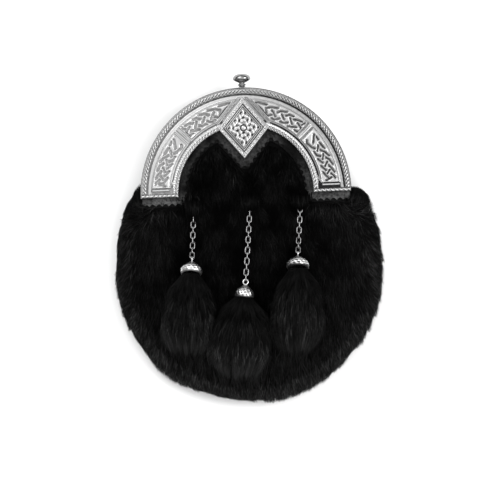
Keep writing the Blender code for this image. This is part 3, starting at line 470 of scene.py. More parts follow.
def add_plate(name, outline, low, high, material, nodes):
    """A flat plate between two heights in mm: a closed outline at each, and walls between."""
    count = len(outline)
    points = np.concatenate([np.column_stack((outline, np.full(count, level)))
                             for level in (low, high)])
    k = np.arange(count)
    after = (k + 1) % count
    walls = np.stack((k, after, count + after, count + k), axis=1)
    mesh = bpy.data.meshes.new(name)
    mesh.from_pydata((points * MM).tolist(), [],
                     [k[::-1].tolist(), (count + k).tolist(), *walls.tolist()])
    piece = set_on_root(name, mesh, material, nodes)
    outwards(piece)
    return piece


# The same hide in a coarser grain, with painted shade where it lies under the cantle and painted
# light where it hangs free below the cantle's feet
backing_leather = leather_material("pinked_cowhide", ("#020202", "#585858"), 1.5, 0.6, 0.06,
                                   (-0.38, 0.12))
low = math.asin(FOOT_MM / BACKING_MM)
t = np.linspace(low, math.pi - low, 200)
arc = np.stack((BACKING_MM * np.cos(t), BACKING_MM * np.sin(t)), 1)
right = backing_inner_edge()
left = right[::-1] * (-1.0, 1.0)
outline = np.concatenate([arc[:-1]] + [pinked(path, 4.6, 1.7)[:-1] for path in (
    np.stack((arc[-1], left[0])), left, np.stack((left[-1], right[0])), right,
    np.stack((right[-1], arc[0])))])
add_plate("pinked_backing", outline, 17.3, 18.8, backing_leather,
          ["leather_backing"])


# Cantle. One silver-plated casting: a half ring with a rope border outside and a beaded one
# inside, and four raised panels of plait between bars. The recesses are blackened and the
# crests polished, which draws the pattern.

RING_MM = 75.9  # outer radius
WIDTH_MM = 27.4  # of the band
FACE_MM = 21.3  # level of the sunk ground
RELIEF_MM = 1.7  # from there to the crests
DIVIDER = math.radians(44.0)  # direction of the bar between two panels

# Across the ring: share of the width from the outer edge, share of the relief
CANTLE_SECTION = np.array([
    (0.000, 0.00), (0.016, 0.00), (0.024, 0.55), (0.032, 0.60), (0.040, 0.30), (0.050, 0.60),
    (0.062, 0.92), (0.100, 1.00), (0.136, 0.92), (0.152, 0.62), (0.162, 0.42), (0.168, 0.00),
    (0.202, 0.00), (0.210, 0.22), (0.230, 0.26), (0.276, 0.30), (0.286, 0.60), (0.300, 0.60),
    (0.306, 0.20),
    (0.775, 0.20), (0.796, 0.26), (0.806, 0.00), (0.836, 0.00), (0.848, 0.36), (0.870, 0.40),
    (0.905, 0.52), (0.925, 0.78), (0.955, 0.95), (0.980, 0.82), (0.992, 0.70), (1.000, 0.10)])

# Gaps between the strands of each plait: distance from the divider along the panel's middle
# line and distance from the panel's inner edge, in mm
UPPER_GAPS = [
    [(40.8, 10.5), (38.4, 10.9), (32.6, 10.5)],
    [(40.0, 9.3), (30.3, 2.7), (27.1, 4.5)],
    [(31.7, 4.7), (32.7, 7.6), (30.8, 8.9), (24.7, 10.6)],
    [(28.3, 7.7), (24.3, 4.0)],
    [(24.0, 7.2), (22.2, 9.0), (18.1, 10.6)],
    [(26.8, 2.0), (24.2, 1.8), (21.0, 3.7)],
    [(20.6, 7.3), (17.4, 4.6)],
    [(17.7, 7.5), (15.7, 9.5), (12.8, 10.0)],
    [(19.6, 2.0), (16.8, 2.4), (14.0, 4.0)],
    [(14.2, 7.8), (10.7, 4.6)],
    [(11.9, 8.1), (9.1, 9.3), (5.8, 10.4)],
    [(12.7, 1.7), (6.9, 4.6)],
    [(7.9, 7.8), (3.7, 6.4), (2.6, 4.4), (3.9, 2.6), (6.7, 2.4)],
    [(4.8, 8.3), (4.0, 10.6)],
]
LOWER_GAPS = [
    [(5.8, 3.0), (7.4, 1.7), (11.6, 2.5), (14.3, 4.2)],
    [(6.0, 9.6), (10.2, 5.3)],
    [(8.0, 10.0), (10.4, 9.9)],
    [(13.7, 7.4), (16.7, 4.8)],
    [(12.7, 9.2), (17.7, 10.2)],
    [(17.0, 6.9), (20.0, 9.1), (23.4, 10.8)],
    [(16.1, 2.4), (19.6, 2.9), (21.3, 5.1)],
    [(20.6, 7.6), (24.0, 5.3)],
    [(23.5, 8.0), (26.0, 9.9), (29.5, 10.9)],
    [(22.1, 2.3), (26.4, 4.6)],
    [(26.8, 7.8), (29.4, 5.2)],
    [(29.4, 7.9), (34.9, 10.7)],
    [(28.1, 2.7), (32.5, 5.1)],
    [(32.6, 8.0), (35.0, 5.2)],
    [(35.3, 8.0), (38.9, 10.5)],
    [(33.2, 2.7), (38.4, 5.5)],
    [(38.0, 8.1), (39.8, 3.7)],
]


def distance_to_strokes(x, y, strokes):
    """Distance in mm from points to the nearest of some broken lines."""
    best = np.full(np.shape(x), 99.0)
    for line in strokes:
        for (ax, ay), (bx, by) in zip(line, line[1:]):
            length = (bx - ax) ** 2 + (by - ay) ** 2
            t = np.clip(((x - ax) * (bx - ax) + (y - ay) * (by - ay)) / length, 0.0, 1.0)
            gap = np.hypot(x - ax - t * (bx - ax), y - ay - t * (by - ay))
            best = np.minimum(best, gap)
    return best


def cantle_relief(x, y):
    """Share of the relief at points of the right half, in mm, the left being its mirror: the
    section across the ring, cut by the patterns of its borders, with the panels let in."""
    r = np.hypot(x, y)
    turn = np.arctan2(y, x)
    share = (RING_MM - r) / WIDTH_MM
    relief = np.interp(share, CANTLE_SECTION[:, 0], CANTLE_SECTION[:, 1])

    # Rope: slanting cuts, 2.6 mm apart on its radius of 73.2 mm
    in_rope = band(share, 0.036, 0.050, 0.150, 0.164)
    lean = np.tanh((share - 0.100) * 55.0)
    phase = turn * 73.2 / 2.6 + 0.42 * lean
    cut = 1.0 - smooth_step(np.abs(phase - np.round(phase)), 0.08, 0.21)
    relief = relief * (1.0 - in_rope * cut) + 0.21 * in_rope * cut

    # Beads, 2.5 mm apart and leaning, and outside them a web of cuts, 1.7 mm apart
    in_beads = band(share, 0.895, 0.915, 0.985, 0.998)
    phase = turn * 49.9 / 2.5 + 0.30 * np.tanh((share - 0.945) * 60.0)
    relief = relief - 0.55 * in_beads * (0.5 - 0.5 * np.cos(2.0 * math.pi * phase)) ** 2
    in_web = band(share, 0.845, 0.86, 0.890, 0.905)
    phase = turn * 52.0 / 1.7
    relief = relief - 0.14 * in_web * (0.5 - 0.5 * np.cos(2.0 * math.pi * phase))

    # Panels: half-round strands apart by the gaps, on a ground with a frame line
    a = r - (RING_MM - 0.77 * WIDTH_MM)
    depth = 0.46 * WIDTH_MM
    from_divider = r * np.sin(turn - DIVIDER)
    slope = math.atan2(LOZENGE_WIDE_MM, LOZENGE_TALL_MM)
    from_lozenge = (x * math.cos(slope) + y * math.sin(slope)
                    - (LOZENGE_Y_MM + LOZENGE_TALL_MM) * math.sin(slope))
    ends = np.where(from_divider > 0.0, from_lozenge - 3.4, y - 5.4)
    edge = np.minimum(np.minimum(a, depth - a), np.minimum(np.abs(from_divider) - 2.5, ends))
    along = np.abs(turn - DIVIDER) * (RING_MM - 0.54 * WIDTH_MM)
    gap = np.where(from_divider > 0.0, distance_to_strokes(along, a, UPPER_GAPS),
                   distance_to_strokes(along, a, LOWER_GAPS))
    strand = 0.08 + 0.76 * np.sqrt(np.clip((gap - 0.36) / 1.10, 0.0, 1.0))
    frame_line = 0.16 * np.exp(-((edge - 1.1) / 0.25) ** 2)
    field = np.where(edge < 0.9, 0.78, strand - frame_line)
    panel = 0.14 + (field - 0.14) * smooth_step(edge, 0.0, 0.35)
    relief = np.where(edge > 0.0, panel, relief)

    # Bars: a grooved one at the divider, one beside the lozenge and a plain one at the foot
    in_ring = band(share, 0.285, 0.300, 0.785, 0.800)
    bar = np.abs(from_divider)
    ridge = 0.80 * (1.0 - smooth_step(bar, 1.20, 1.50)) - 0.30 * np.exp(-(bar / 0.35) ** 2)
    relief = np.maximum(relief, in_ring * ridge)
    ridge = 0.85 * band(from_lozenge, 0.9, 1.2, 2.4, 2.8)
    ridge = ridge - 0.35 * np.exp(-((from_lozenge - 1.8) / 0.25) ** 2)
    in_band = band(share, 0.24, 0.26, 0.83, 0.85)
    relief = np.maximum(relief, in_band * ridge)
    in_foot = band(share, 0.290, 0.310, 0.750, 0.770)
    ridge = 0.95 * band(y, 3.2, 3.5, 4.5, 4.8)
    relief = np.where((y < 5.4) & (y > 1.3) & (share > 0.285) & (share < 0.86),
                      np.maximum(0.04, in_foot * ridge), relief)

    # Foot's end: a row of beads, 3.1 mm apart
    in_edge = (y <= 1.5) & (share > 0.03) & (share < 0.97)
    bead = np.abs(np.cos(math.pi * x / 3.1 + 0.35 * (y + 0.1))) ** 0.7
    crest = (0.30 + 0.65 * bead) * np.sqrt(np.clip(1.0 - ((y + 0.05) / 1.35) ** 2, 0.0, 1.0))
    return np.where(in_edge, np.maximum(crest, 0.05), relief)


def silver_material(name, bright, dark, roughness, grain):
    """Silver plate: polished where the stored relief is high and sulphide-black below, paler
    towards the left by painted light, over a fine cast grain."""
    material, tree, shader, place = new_material(name, Metallic=1.0, Roughness=roughness)
    relief = add_node(tree, "Attribute", attribute_name="relief").outputs["Fac"]
    stain = add_node(tree, "TexNoise", {"Scale": 420.0, "Detail": 4.0, "Vector": place})
    side = add_node(tree, "SeparateXYZ", {0: place})
    # Painted light: the silver made paler towards the left, where the light falls on it
    painted_left_light = add_node(tree, "MapRange", {"Value": side.outputs["X"], "From Min": 0.050,
                                       "From Max": -0.045, "To Min": 0.05, "To Max": 0.23})
    polish = add_node(tree, "Math", {0: relief, 1: painted_left_light.outputs["Result"]})
    level = add_node(tree, "Math", {0: stain.outputs["Fac"], 1: 0.22, 2: polish.outputs[0]},
                     operation='MULTIPLY_ADD')
    clean = add_node(tree, "MapRange", {"Value": level.outputs[0], "From Min": 0.18,
                                        "From Max": 0.62}, interpolation_type='SMOOTHSTEP')
    tone = add_node(tree, "Mix", {0: clean.outputs["Result"], 6: linear(dark),
                                  7: linear(bright)}, data_type='RGBA')
    dull = add_node(tree, "MapRange", {"Value": clean.outputs["Result"], "To Min": 0.55,
                                       "To Max": roughness})
    sand = add_node(tree, "TexNoise", {"Scale": 2600.0, "Detail": 3.0, "Vector": place})
    bump = add_node(tree, "Bump", {"Strength": grain, "Distance": 0.05 * MM,
                                   "Height": sand.outputs["Fac"]})
    fill(tree, shader, {"Base Color": tone.outputs[2], "Roughness": dull.outputs["Result"],
                        "Normal": bump.outputs["Normal"]})
    return material


def store(piece, name, values):
    """One value per point, kept in the mesh for the material."""
    attribute = piece.data.attributes.new(name, 'FLOAT', 'POINT')
    attribute.data.foreach_set("value", np.ascontiguousarray(values, np.float32).ravel())


# Cast silver: satin crests against black recesses
cast_silver = silver_material("antiqued_cast_silver", "#b4b4b4", "#202020", 0.36, 0.5)


def add_cantle():
    """Rings of points across the band at equal turns from foot to foot, raised by the
    relief, with a straight wall inside and outside; the two ends are closed by one face."""
    across = np.linspace(0.0, 1.0, 106)
    steps = np.linspace(0.0, 1.0, 861)
    r = (RING_MM - WIDTH_MM * across)[None, :]
    foot = np.arcsin(1.3 / r)
    turn = -foot + (math.pi + 2.0 * foot) * steps[:, None]
    x, y = r * np.cos(turn), r * np.sin(turn)
    relief = cantle_relief(np.abs(x), y)
    rim = np.broadcast_to(19.1, (len(steps), 1))
    top = np.stack((x, y, FACE_MM + RELIEF_MM * relief), axis=-1)
    inside = np.concatenate((x[:, -1:], y[:, -1:], rim), axis=1)[:, None, :]
    outside = np.concatenate((x[:, :1], y[:, :1], rim), axis=1)[:, None, :]
    ring = np.concatenate((top, inside, outside), axis=1)
    count = ring.shape[1]
    faces = grid_faces(len(steps), count, wrap_columns=True)[:, ::-1]
    piece = add_piece("cast_ring", ring.reshape(-1, 3), faces, cast_silver,
                      ["cantle"], 62.0, weld=False)
    bm = bmesh.new()
    bm.from_mesh(piece.data)
    bm.verts.ensure_lookup_table()
    for start, order in ((0, 1), ((len(steps) - 1) * count, -1)):
        bm.faces.new([bm.verts[start + k] for k in range(count)][::order])
    bm.to_mesh(piece.data)
    bm.free()
    side = np.full((len(steps), 2), 0.05)
    store(piece, "relief", np.concatenate((relief, side), axis=1))


add_cantle()


# Lozenge. It is cast with the ring and stands a little above it: a granulated border, two
# fine raised lines, and on the sunk field a basket plait round a plain boss.

EDGE_MM = 14.21  # from the lozenge's centre square to its side
FIELD_MM = 5.6  # from the side to the sunk field


def lozenge_relief(x, y):
    """Height in mm below the top: a section by the distance from the edge, with grains on
    the border. On the field, five strands each way, bent by sines of each other, go over and
    under in turn, round a domed boss."""
    edge = (1.0 - np.abs(x) / LOZENGE_WIDE_MM - np.abs(y) / LOZENGE_TALL_MM) * EDGE_MM
    table = np.array([(0.0, -0.7), (0.25, -0.15), (0.6, 0.0), (2.7, 0.0), (2.9, -0.15),
                      (3.1, -0.95), (3.5, -0.95), (3.75, -0.15), (4.2, -0.15), (4.4, -0.95),
                      (4.7, -0.95), (4.95, -0.25), (5.35, -0.25), (5.6, -1.2), (15.0, -1.2)])
    height = np.interp(edge, table[:, 0], table[:, 1])
    grains = (np.cos(4.4 * x + 1.7 * np.sin(2.3 * y))
              * np.cos(4.9 * y + 1.9 * np.sin(2.7 * x)))
    height += (0.32 * grains - 0.30) * band(edge, 0.7, 0.9, 2.4, 2.6)
    field = 1.0 - FIELD_MM / EDGE_MM
    p = (x / LOZENGE_WIDE_MM + y / LOZENGE_TALL_MM) / field * 2.5
    q = (x / LOZENGE_WIDE_MM - y / LOZENGE_TALL_MM) / field * 2.5
    p, q = p + 0.17 * np.sin(math.pi * q), q + 0.17 * np.sin(math.pi * p)
    over = np.where((np.round(p) + np.round(q)) % 2.0 == 0.0, 1.0, -1.0)
    strand_p, strand_q = (np.sqrt(np.clip(1.0 - ((t - np.round(t)) / 0.36) ** 2, 0.0, 1.0))
                          for t in (p, q))
    apart_p, apart_q = ((0.5 - 0.5 * np.cos(2.0 * math.pi * t)) for t in (p, q))
    knot = np.maximum(strand_p * (0.72 + 0.28 * over * (1.0 - 2.0 * apart_q)),
                      strand_q * (0.72 - 0.28 * over * (1.0 - 2.0 * apart_p)))
    boss = np.clip(1.0 - (x ** 2 + y ** 2) / 4.0, 0.0, 1.0)
    knot = np.maximum(knot * (x ** 2 + y ** 2 > 6.2), 1.2 * np.sqrt(boss))
    return np.where(edge > FIELD_MM, height + knot, height)


def add_lozenge():
    """A grid along the lozenge's two slants, raised by the relief, with walls down to a flat
    underside that is closed at its middle."""
    top_mm, bottom_mm = 23.7, 19.25
    side = np.linspace(-1.0, 1.0, 125)
    u, v = np.meshgrid(side, side, indexing='ij')
    x = LOZENGE_WIDE_MM * (u - v) / 2.0
    y = LOZENGE_TALL_MM * (u + v) / 2.0
    height = lozenge_relief(x, y)
    rows = len(side)
    top = np.stack((x, y + LOZENGE_Y_MM, top_mm + height), axis=-1).reshape(-1, 3)
    faces = grid_faces(rows, rows)
    index = np.arange(rows * rows).reshape(rows, rows)
    rim = np.concatenate((index[0, :-1], index[:-1, -1], index[-1, :0:-1], index[:0:-1, 0]))
    count = len(rim)
    low = top[rim].copy()
    low[:, 2] = bottom_mm
    k = np.arange(count)
    after = (k + 1) % count
    walls = np.stack((rim, rim[after], len(top) + after, len(top) + k), axis=1)
    centre = np.full(count, len(top) + count)
    ground = np.stack((len(top) + k, len(top) + after, centre, centre), axis=1)
    points = np.concatenate((top, low, [(0.0, LOZENGE_Y_MM, bottom_mm)]))
    faces = np.concatenate((faces, walls, ground))
    piece = add_piece("cast_lozenge", points, faces, cast_silver, ["cantle"],
                      62.0, weld=False)
    piece.data.validate()
    outwards(piece)
    relief = np.concatenate((np.clip(0.78 + height.ravel() / 1.25, 0.0, 1.0),
                             np.full(count + 1, 0.5)))
    store(piece, "relief", relief)


add_lozenge()


# Knob. A turned and polished finial on the cantle's crown: domed head, waisted neck with a
# ring, and a flared foot.

def turned(profile, steps):
    """Points and faces of a closed profile (radius, height) turned about Z, first and last
    radius being 0."""
    profile = np.asarray(profile, float)
    turn = np.arange(steps) * 2.0 * math.pi / steps
    points = np.stack((profile[:, :1] * np.cos(turn), profile[:, :1] * np.sin(turn),
                       np.broadcast_to(profile[:, 1:], (len(profile), steps))), axis=-1)
    return points.reshape(-1, 3), grid_faces(len(profile), steps, wrap_columns=True)


def smoothed(profile):
    """A profile with its corners cut twice at a quarter of each side, which rounds them."""
    profile = np.asarray(profile, float)
    for _ in range(2):
        first, second = profile[:-1], profile[1:]
        cut = np.stack((0.75 * first + 0.25 * second, 0.25 * first + 0.75 * second), 1)
        profile = np.concatenate((profile[:1], cut.reshape(-1, 2), profile[-1:]))
    return profile


# Polished plate: mirror bright, so it shows the dark table side of the tent
polished = silver_material("polished_silver_plate", "#8c8c8c", "#101010", 0.14, 0.10)


def add_knob():
    """The profile turned about Z, laid along Y from the crown of the ring."""
    radius, length, start, level = 6.5, 9.8, 76.2, 20.2
    profile = smoothed([(0.00, 1.00), (0.45, 0.98), (0.80, 0.88), (1.00, 0.68), (0.94, 0.52),
                        (0.60, 0.40), (0.33, 0.33), (0.30, 0.25), (0.46, 0.20), (0.47, 0.15),
                        (0.30, 0.11), (0.34, 0.05), (0.44, 0.00), (0.00, 0.00)])
    points, faces = turned(profile * (radius, length), 48)
    points = np.stack((points[:, 0], start + points[:, 2], level - points[:, 1]), axis=1)
    piece = add_piece("turned_knob", points, faces, polished, ["knob"], 45.0)
    place = np.array([v.co for v in piece.data.vertices]) / MM
    thick = np.hypot(place[:, 0], place[:, 2] - level)
    store(piece, "relief", np.clip((thick - 1.6) / 1.2, 0.0, 1.0))
    outwards(piece)


add_knob()


# Chains. Each tassel hangs on round-wire cable links, silver-plated; every other link is
# turned a quarter. Each chain hangs from a wire eye on a small riveted disc in the fur.

FUR_SIDE_MM = 9.8  # how far the fur stands outside the leather at the sides
FUR_DROP_MM = 151.0  # from the arc's centre down to the fur's foot
FUR_EDGE_MM = 11.0  # height of its crests at the outline
CHAINS = {  # start x and y, end x and y, links
    "left": (-37.9, -10.5, -40.3, -48.3, 9),
    "middle": (2.7, -8.5, -2.9, -65.8, 14),
    "right": (38.7, -9.9, 35.0, -47.7, 9),
}
PITCH_MM = 3.9  # from link to link
FIRST_MM = 3.3  # from the eye to the first link, and from the last link to the cap's eye
WIRE_MM = 0.45  # radius of the wire
EYE_MM = 1.8  # radius of an eye, to the middle of its wire

# Plated wire: bright, with little black left on it
chain_silver = silver_material("silver_plated_wire", "#8c8c8c", "#202020", 0.25, 0.1)


def fur_height(x, y):
    """Crests of the pelt in mm: 8.8 above the front panel, falling off at the outline."""
    edge = reach(x, y, FUR_DROP_MM, FUR_SIDE_MM)
    full = front_height(x, y) + 8.8
    return FUR_EDGE_MM + (full - FUR_EDGE_MM) * np.sqrt(1.0 - edge ** 8)


def chain_walk(side):
    """Distance run and place along a chain at every 0.2 mm of plan: a straight line over the
    fur, lifted at its end to where the cap's eye is."""
    x0, y0, x1, y1, _ = CHAINS[side]
    length = math.hypot(x1 - x0, y1 - y0)
    plan = np.arange(0.0, length + 0.01, 0.2)
    x = x0 + (x1 - x0) * plan / length
    y = y0 + (y1 - y0) * plan / length
    lift = 2.4 + 2.8 * smooth_step((plan - length + 14.0) / 14.0)
    places = np.stack((x, y, fur_height(x, y) + lift), axis=1)
    gone = np.concatenate(([0.0], np.cumsum(np.linalg.norm(np.diff(places, axis=0), axis=1))))
    return gone, places


def chain_place(side, distance):
    """Place and heading on a chain at a distance from its start."""
    gone, places = chain_walk(side)
    spot, tail, nose = (np.array([np.interp(distance + d, gone, places[:, k]) for k in range(3)])
                        for d in (0.0, -0.9, 0.9))
    return spot, unit(nose - tail)


def turned_frame(ahead, quarter):
    """Axes with the first ahead and the third up, or turned a quarter about the first."""
    across = unit(np.cross((0.0, 0.0, 1.0), ahead))
    up = np.cross(ahead, across)
    return (ahead, up, -across) if quarter else (ahead, across, up)


def closed_tube(path, flat, wire, sides):
    """Round wire along a closed path that lies in the plane with the normal flat."""
    ahead = unit(np.roll(path, -1, axis=0) - np.roll(path, 1, axis=0))
    out = np.cross(ahead, flat)
    a = np.arange(sides) * 2.0 * math.pi / sides
    points = path[:, None, :] + wire * (out[:, None, :] * np.cos(a)[None, :, None]
                                        + flat * np.sin(a)[None, :, None])
    return points.reshape(-1, 3), grid_faces(len(path), sides, True, True)


def wire_loop(centre, axes, straight, bend, wire, steps, sides):
    """A stadium of round wire; the bends' radius is that of the wire's middle."""
    turn = np.linspace(-math.pi / 2, math.pi / 2, steps // 2)
    right = np.stack((straight / 2 + bend * np.cos(turn), bend * np.sin(turn)), 1)
    plan = np.concatenate((right, -right))
    if straight == 0.0:
        plan = np.delete(plan, (0, steps // 2), axis=0)
    first, second, third = (np.asarray(axis) for axis in axes)
    return closed_tube(centre + plan[:, :1] * first + plan[:, 1:] * second, third, wire, sides)


def wire_eye(side, number, distance):
    """The round eye at a distance along a chain, turned as the link with this number."""
    spot, ahead = chain_place(side, distance)
    return wire_loop(spot, turned_frame(ahead, number % 2 == 1), 0.0, EYE_MM, WIRE_MM, 24, 8)


def stood(points, place, axis):
    """Points turned until their Z lies along an axis, and moved to a place."""
    side = unit(np.cross(axis, (0.3, 0.9, 0.1)))
    other = np.cross(axis, side)
    return place + points[:, :1] * side + points[:, 1:2] * other + points[:, 2:] * axis


def joined(parts):
    """One set of points and faces from several."""
    starts = np.cumsum([0] + [len(points) for points, _ in parts[:-1]])
    return (np.concatenate([points for points, _ in parts]),
            np.concatenate([faces + start for (_, faces), start in zip(parts, starts)]))


UPWARDS = np.array((0.0, 0.0, 1.0))
disc = smoothed([(0.0, 0.5), (0.9, 0.5), (1.4, 0.2), (2.4, 0.25), (2.6, 0.1), (2.6, -0.5),
                 (0.0, -0.5)])
for side, (*_, count) in CHAINS.items():
    start, _ = chain_place(side, 0.0)
    points, faces = turned(disc, 32)
    parts = [(stood(points, start + (0.0, 0.0, -1.4), UPWARDS), faces),
             wire_eye(side, -1, 0.0)]
    for n in range(count):
        spot, ahead = chain_place(side, FIRST_MM + PITCH_MM * n)
        axes = turned_frame(ahead, n % 2 == 1)
        parts.append(wire_loop(spot, axes, 2.1, 1.5, WIRE_MM, 28, 8))
    points, faces = joined(parts)
    links = [f"chain_{side}_{n + 1:02d}" for n in range(count)]
    piece = add_piece(f"cable_chain_{side}", points, faces, chain_silver,
                      [f"chain_anchor_{side}"] + links, 50.0)
    outwards(piece)
    store(piece, "relief", np.ones(len(piece.data.vertices)))


# Tassel caps. Thin spun domes, silver-plated and hammered in a band above the rim, with a
# wire eye for the chain; the tassel's hair is glued up inside.

TASSELS = {  # cap radius, cap height, fur length, half width, tip x and y
    "left": (7.6, 10.0, 57.0, 17.0, -47.0, -116.4),
    "middle": (6.5, 9.5, 57.0, 20.0, -12.3, -132.8),
    "right": (7.8, 10.0, 58.0, 17.5, 32.3, -115.8),
}

# Hammered plate: the dents drawn by painted highlights and painted shade, with painted shade on
# the rim's lower edge
cap_silver = silver_material("hammered_silver_plate", "#e0e0e0", "#333333", 0.26, 0.2)


def tassel_place(side):
    """The eye's distance on the chain, top of the cap, middle of its rim and plan heading."""
    radius, height, _, _, tip_x, tip_y = TASSELS[side]
    distance = FIRST_MM + PITCH_MM * (CHAINS[side][-1] - 1) + FIRST_MM
    eye, ahead = chain_place(side, distance)
    heading = unit(np.array((tip_x - eye[0], tip_y - eye[1])))
    top = eye + ahead * (EYE_MM + 0.5 * WIRE_MM)
    rim = top + np.append(heading, 0.0) * height
    rim[2] = fur_height(rim[0], rim[1]) + radius + 0.45
    return distance, top, rim, heading


dome = smoothed([(0.00, 0.00), (0.22, 0.01), (0.34, 0.10), (0.52, 0.20), (0.80, 0.36),
                 (0.98, 0.56), (1.04, 0.72), (1.02, 0.86), (0.92, 0.96), (0.84, 0.99),
                 (0.80, 0.96), (0.80, 0.74), (0.50, 0.66), (0.00, 0.66)])
for side, (radius, height, *_) in TASSELS.items():
    distance, top, rim, heading = tassel_place(side)
    shape, faces = turned(dome * (radius, -height), 72)
    turn = np.arctan2(shape[:, 1], shape[:, 0])
    level = -shape[:, 2] / height
    outer = np.hypot(shape[:, 0], shape[:, 1]) / radius > 0.2
    dents = np.sin(turn * 9.0 + level * 9.0) * np.sin(turn * 5.0 - level * 21.0)
    struck = band(level, 0.30, 0.42, 0.72, 0.84) * outer
    shape[:, :2] *= (1.0 + 0.05 * dents * struck)[:, None]
    eye = wire_eye(side, CHAINS[side][-1], distance)
    points, faces = joined([(stood(shape, top, unit(top - rim)), faces), eye])
    piece = add_piece(f"dome_cap_{side}", points, faces, cap_silver,
                      [f"tassel_cap_{side}"], 50.0, weld=False)
    # Painted light: bright and dark patches on the dents, brightest in the hammered band, and
    # painted shade on the rim's lower edge
    shade = 0.15 + 0.36 * struck + (0.25 + 0.60 * struck) * dents
    shade = np.where(level < 0.9, shade, 0.0)
    shade = np.concatenate((shade, np.ones(len(eye[0]))))
    store(piece, "relief", np.clip(shade, 0.0, 1.0))
    outwards(piece)


# Pelt. Long-haired black rabbit on its skin: the skin lies over the front panel and folds
# under past its rim, and the hair falls down the front and stands out at the edge.

def fur_material(name, root, tip, roughness, gloss):
    """Dyed hair, dark at the root by painted shade among the hairs and paler towards the tip by
    painted highlight, with a small difference between one hair and the next.
    """
    material, tree, shader, place = new_material(name, Specular_IOR_Level=gloss)
    part = add_node(tree, "Attribute", attribute_name="along").outputs["Fac"]
    tone = add_node(tree, "Attribute", attribute_name="tone").outputs["Fac"]
    # Painted light: darker towards the root as painted shade, paler towards the tip as painted
    # highlight
    level = add_node(tree, "Math", {0: part, 1: tone}, operation='MULTIPLY')
    colour = add_node(tree, "Mix", {0: level.outputs[0], 6: linear(root), 7: linear(tip)},
                      data_type='RGBA')
    dust = add_node(tree, "TexNoise", {"Scale": 60.0, "Detail": 3.0, "Vector": place})
    wax = add_node(tree, "MapRange", {"Value": dust.outputs["Fac"], "To Min": roughness - 0.1,
                                      "To Max": roughness + 0.1})
    fill(tree, shader, {"Base Color": colour.outputs[2], "Roughness": wax.outputs["Result"]})
    return material


# Underfur: woolly, and so dark that it reads as the shadow between the hairs
skin_material = fur_material("underfur", "#020202", "#050505", 0.9, 0.05)
# Rabbit hair: dull, dyed black, a few tips in a hundred painted grey as highlights
hair_material = fur_material("black_rabbit_hair", "#010101", "#4c4c4c", 0.65, 0.04)
PELT_HUB = np.array((0.0, -55.0))
SHOULDER_MM = 74.0  # x past which the fur stands up beside the cantle's feet


def pelt_floor(x, y):
    """Underside of the pelt in mm: on the front panel, and free of the table outside it."""
    on_panel = 1.0 - smooth_step((reach(x, y, DROP_MM, 0.0) - 0.93) / 0.07)
    return 4.0 + (front_height(x, y) + 0.3 - 4.0) * on_panel


def pelt_reach(turns, shoulder):
    """Distance in mm from the hub to the pelt's edge in each direction: the fur's outline,
    and on top the backing's inner edge, its feet, and the shoulders' height beside it."""
    near, far = np.zeros(len(turns)), np.full(len(turns), 120.0)
    for _ in range(30):
        middle = (far + near) / 2.0
        x, y = np.abs(middle * np.cos(turns)), PELT_HUB[1] + middle * np.sin(turns)
        arc = np.sqrt(np.maximum(ARCH_MM ** 2 - x ** 2, 0.0))
        slope = LOZENGE_TALL_MM / LOZENGE_WIDE_MM
        arch = np.minimum(arc, TIP_MM + slope * np.maximum(x - TIP_HALF_MM, 0.0))
        limit = np.where(x < ARCH_MM, np.maximum(arch, FOOT_MM),
                         np.where(x < SHOULDER_MM, FOOT_MM, shoulder)) - 0.5
        inside = x < outline_half_width(y, FUR_DROP_MM, FUR_SIDE_MM)
        inside &= (y < limit) & (y > -FUR_DROP_MM)
        near, far = np.where(inside, middle, near), np.where(inside, far, middle)
    return near


TURNS = np.linspace(-math.pi, math.pi, 721)
FRINGE = np.array([  # direction from the hub in degrees, hair beyond the outline in mm
    (-180, 0.8), (-158, 0.4), (-147, -0.8), (-140, 1.0), (-130, 2.8), (-122, 1.2), (-115, -0.8),
    (-100, -0.8), (-92, 0.0), (-82, 1.6), (-75, 2.8), (-58, 2.8), (-48, 0.4), (-41, -1.8),
    (-36, 2.2), (-26, 0.8), (-20, 2.0), (-10, 1.0), (-2, 2.2), (6, -0.5), (10, 1.5), (16, 0.0),
    (25, 2.4), (35, 0.0), (138, 0.0), (160, -0.5), (170, -1.6), (176, -1.0)])
SKIN_EDGE = pelt_reach(TURNS, FOOT_MM)
HAIR_EDGE = pelt_reach(TURNS, 2.0) + np.interp(np.degrees(TURNS), *FRINGE.T)


def pelt_top(x, y, inset):
    """Top of the skin and underfur in mm at a distance in mm from the skin's edge."""
    low = pelt_floor(x, y) + 0.2
    high = np.maximum(fur_height(x, y) - 3.5, low + 0.6)
    rounding = np.where(y > -15.0, 3.0, 9.0)
    fall = np.sqrt(np.clip(1.0 - np.clip(1.0 - inset / rounding, 0.0, 1.0) ** 2, 0.0, 1.0))
    ripple = (0.7 * np.sin(x * 0.8 + 2.0 * np.sin(y * 0.13))
              * np.sin(y * 0.31 + np.sin(x * 0.21)))
    return low + (high - low + ripple) * fall


def closed_rings(rings, hubs=None):
    """Points and faces of a tube from its rings, stored as ring, step, xyz. The first and the
    last ring are closed at a hub each, which is their mean unless it is given."""
    count, steps = rings.shape[:2]
    points = rings.reshape(-1, 3)
    if hubs is None:
        hubs = [rings[0].mean(axis=0), rings[-1].mean(axis=0)]
    k = np.arange(steps)
    after = (k + 1) % steps
    last = len(points) - steps
    first_hub, last_hub = np.full(steps, len(points)), np.full(steps, len(points) + 1)
    faces = np.concatenate((grid_faces(count, steps, wrap_columns=True),
                            np.stack((k, after, first_hub, first_hub), 1),
                            np.stack((last + after, last + k, last_hub, last_hub), 1)))
    return np.concatenate((points, hubs)), faces


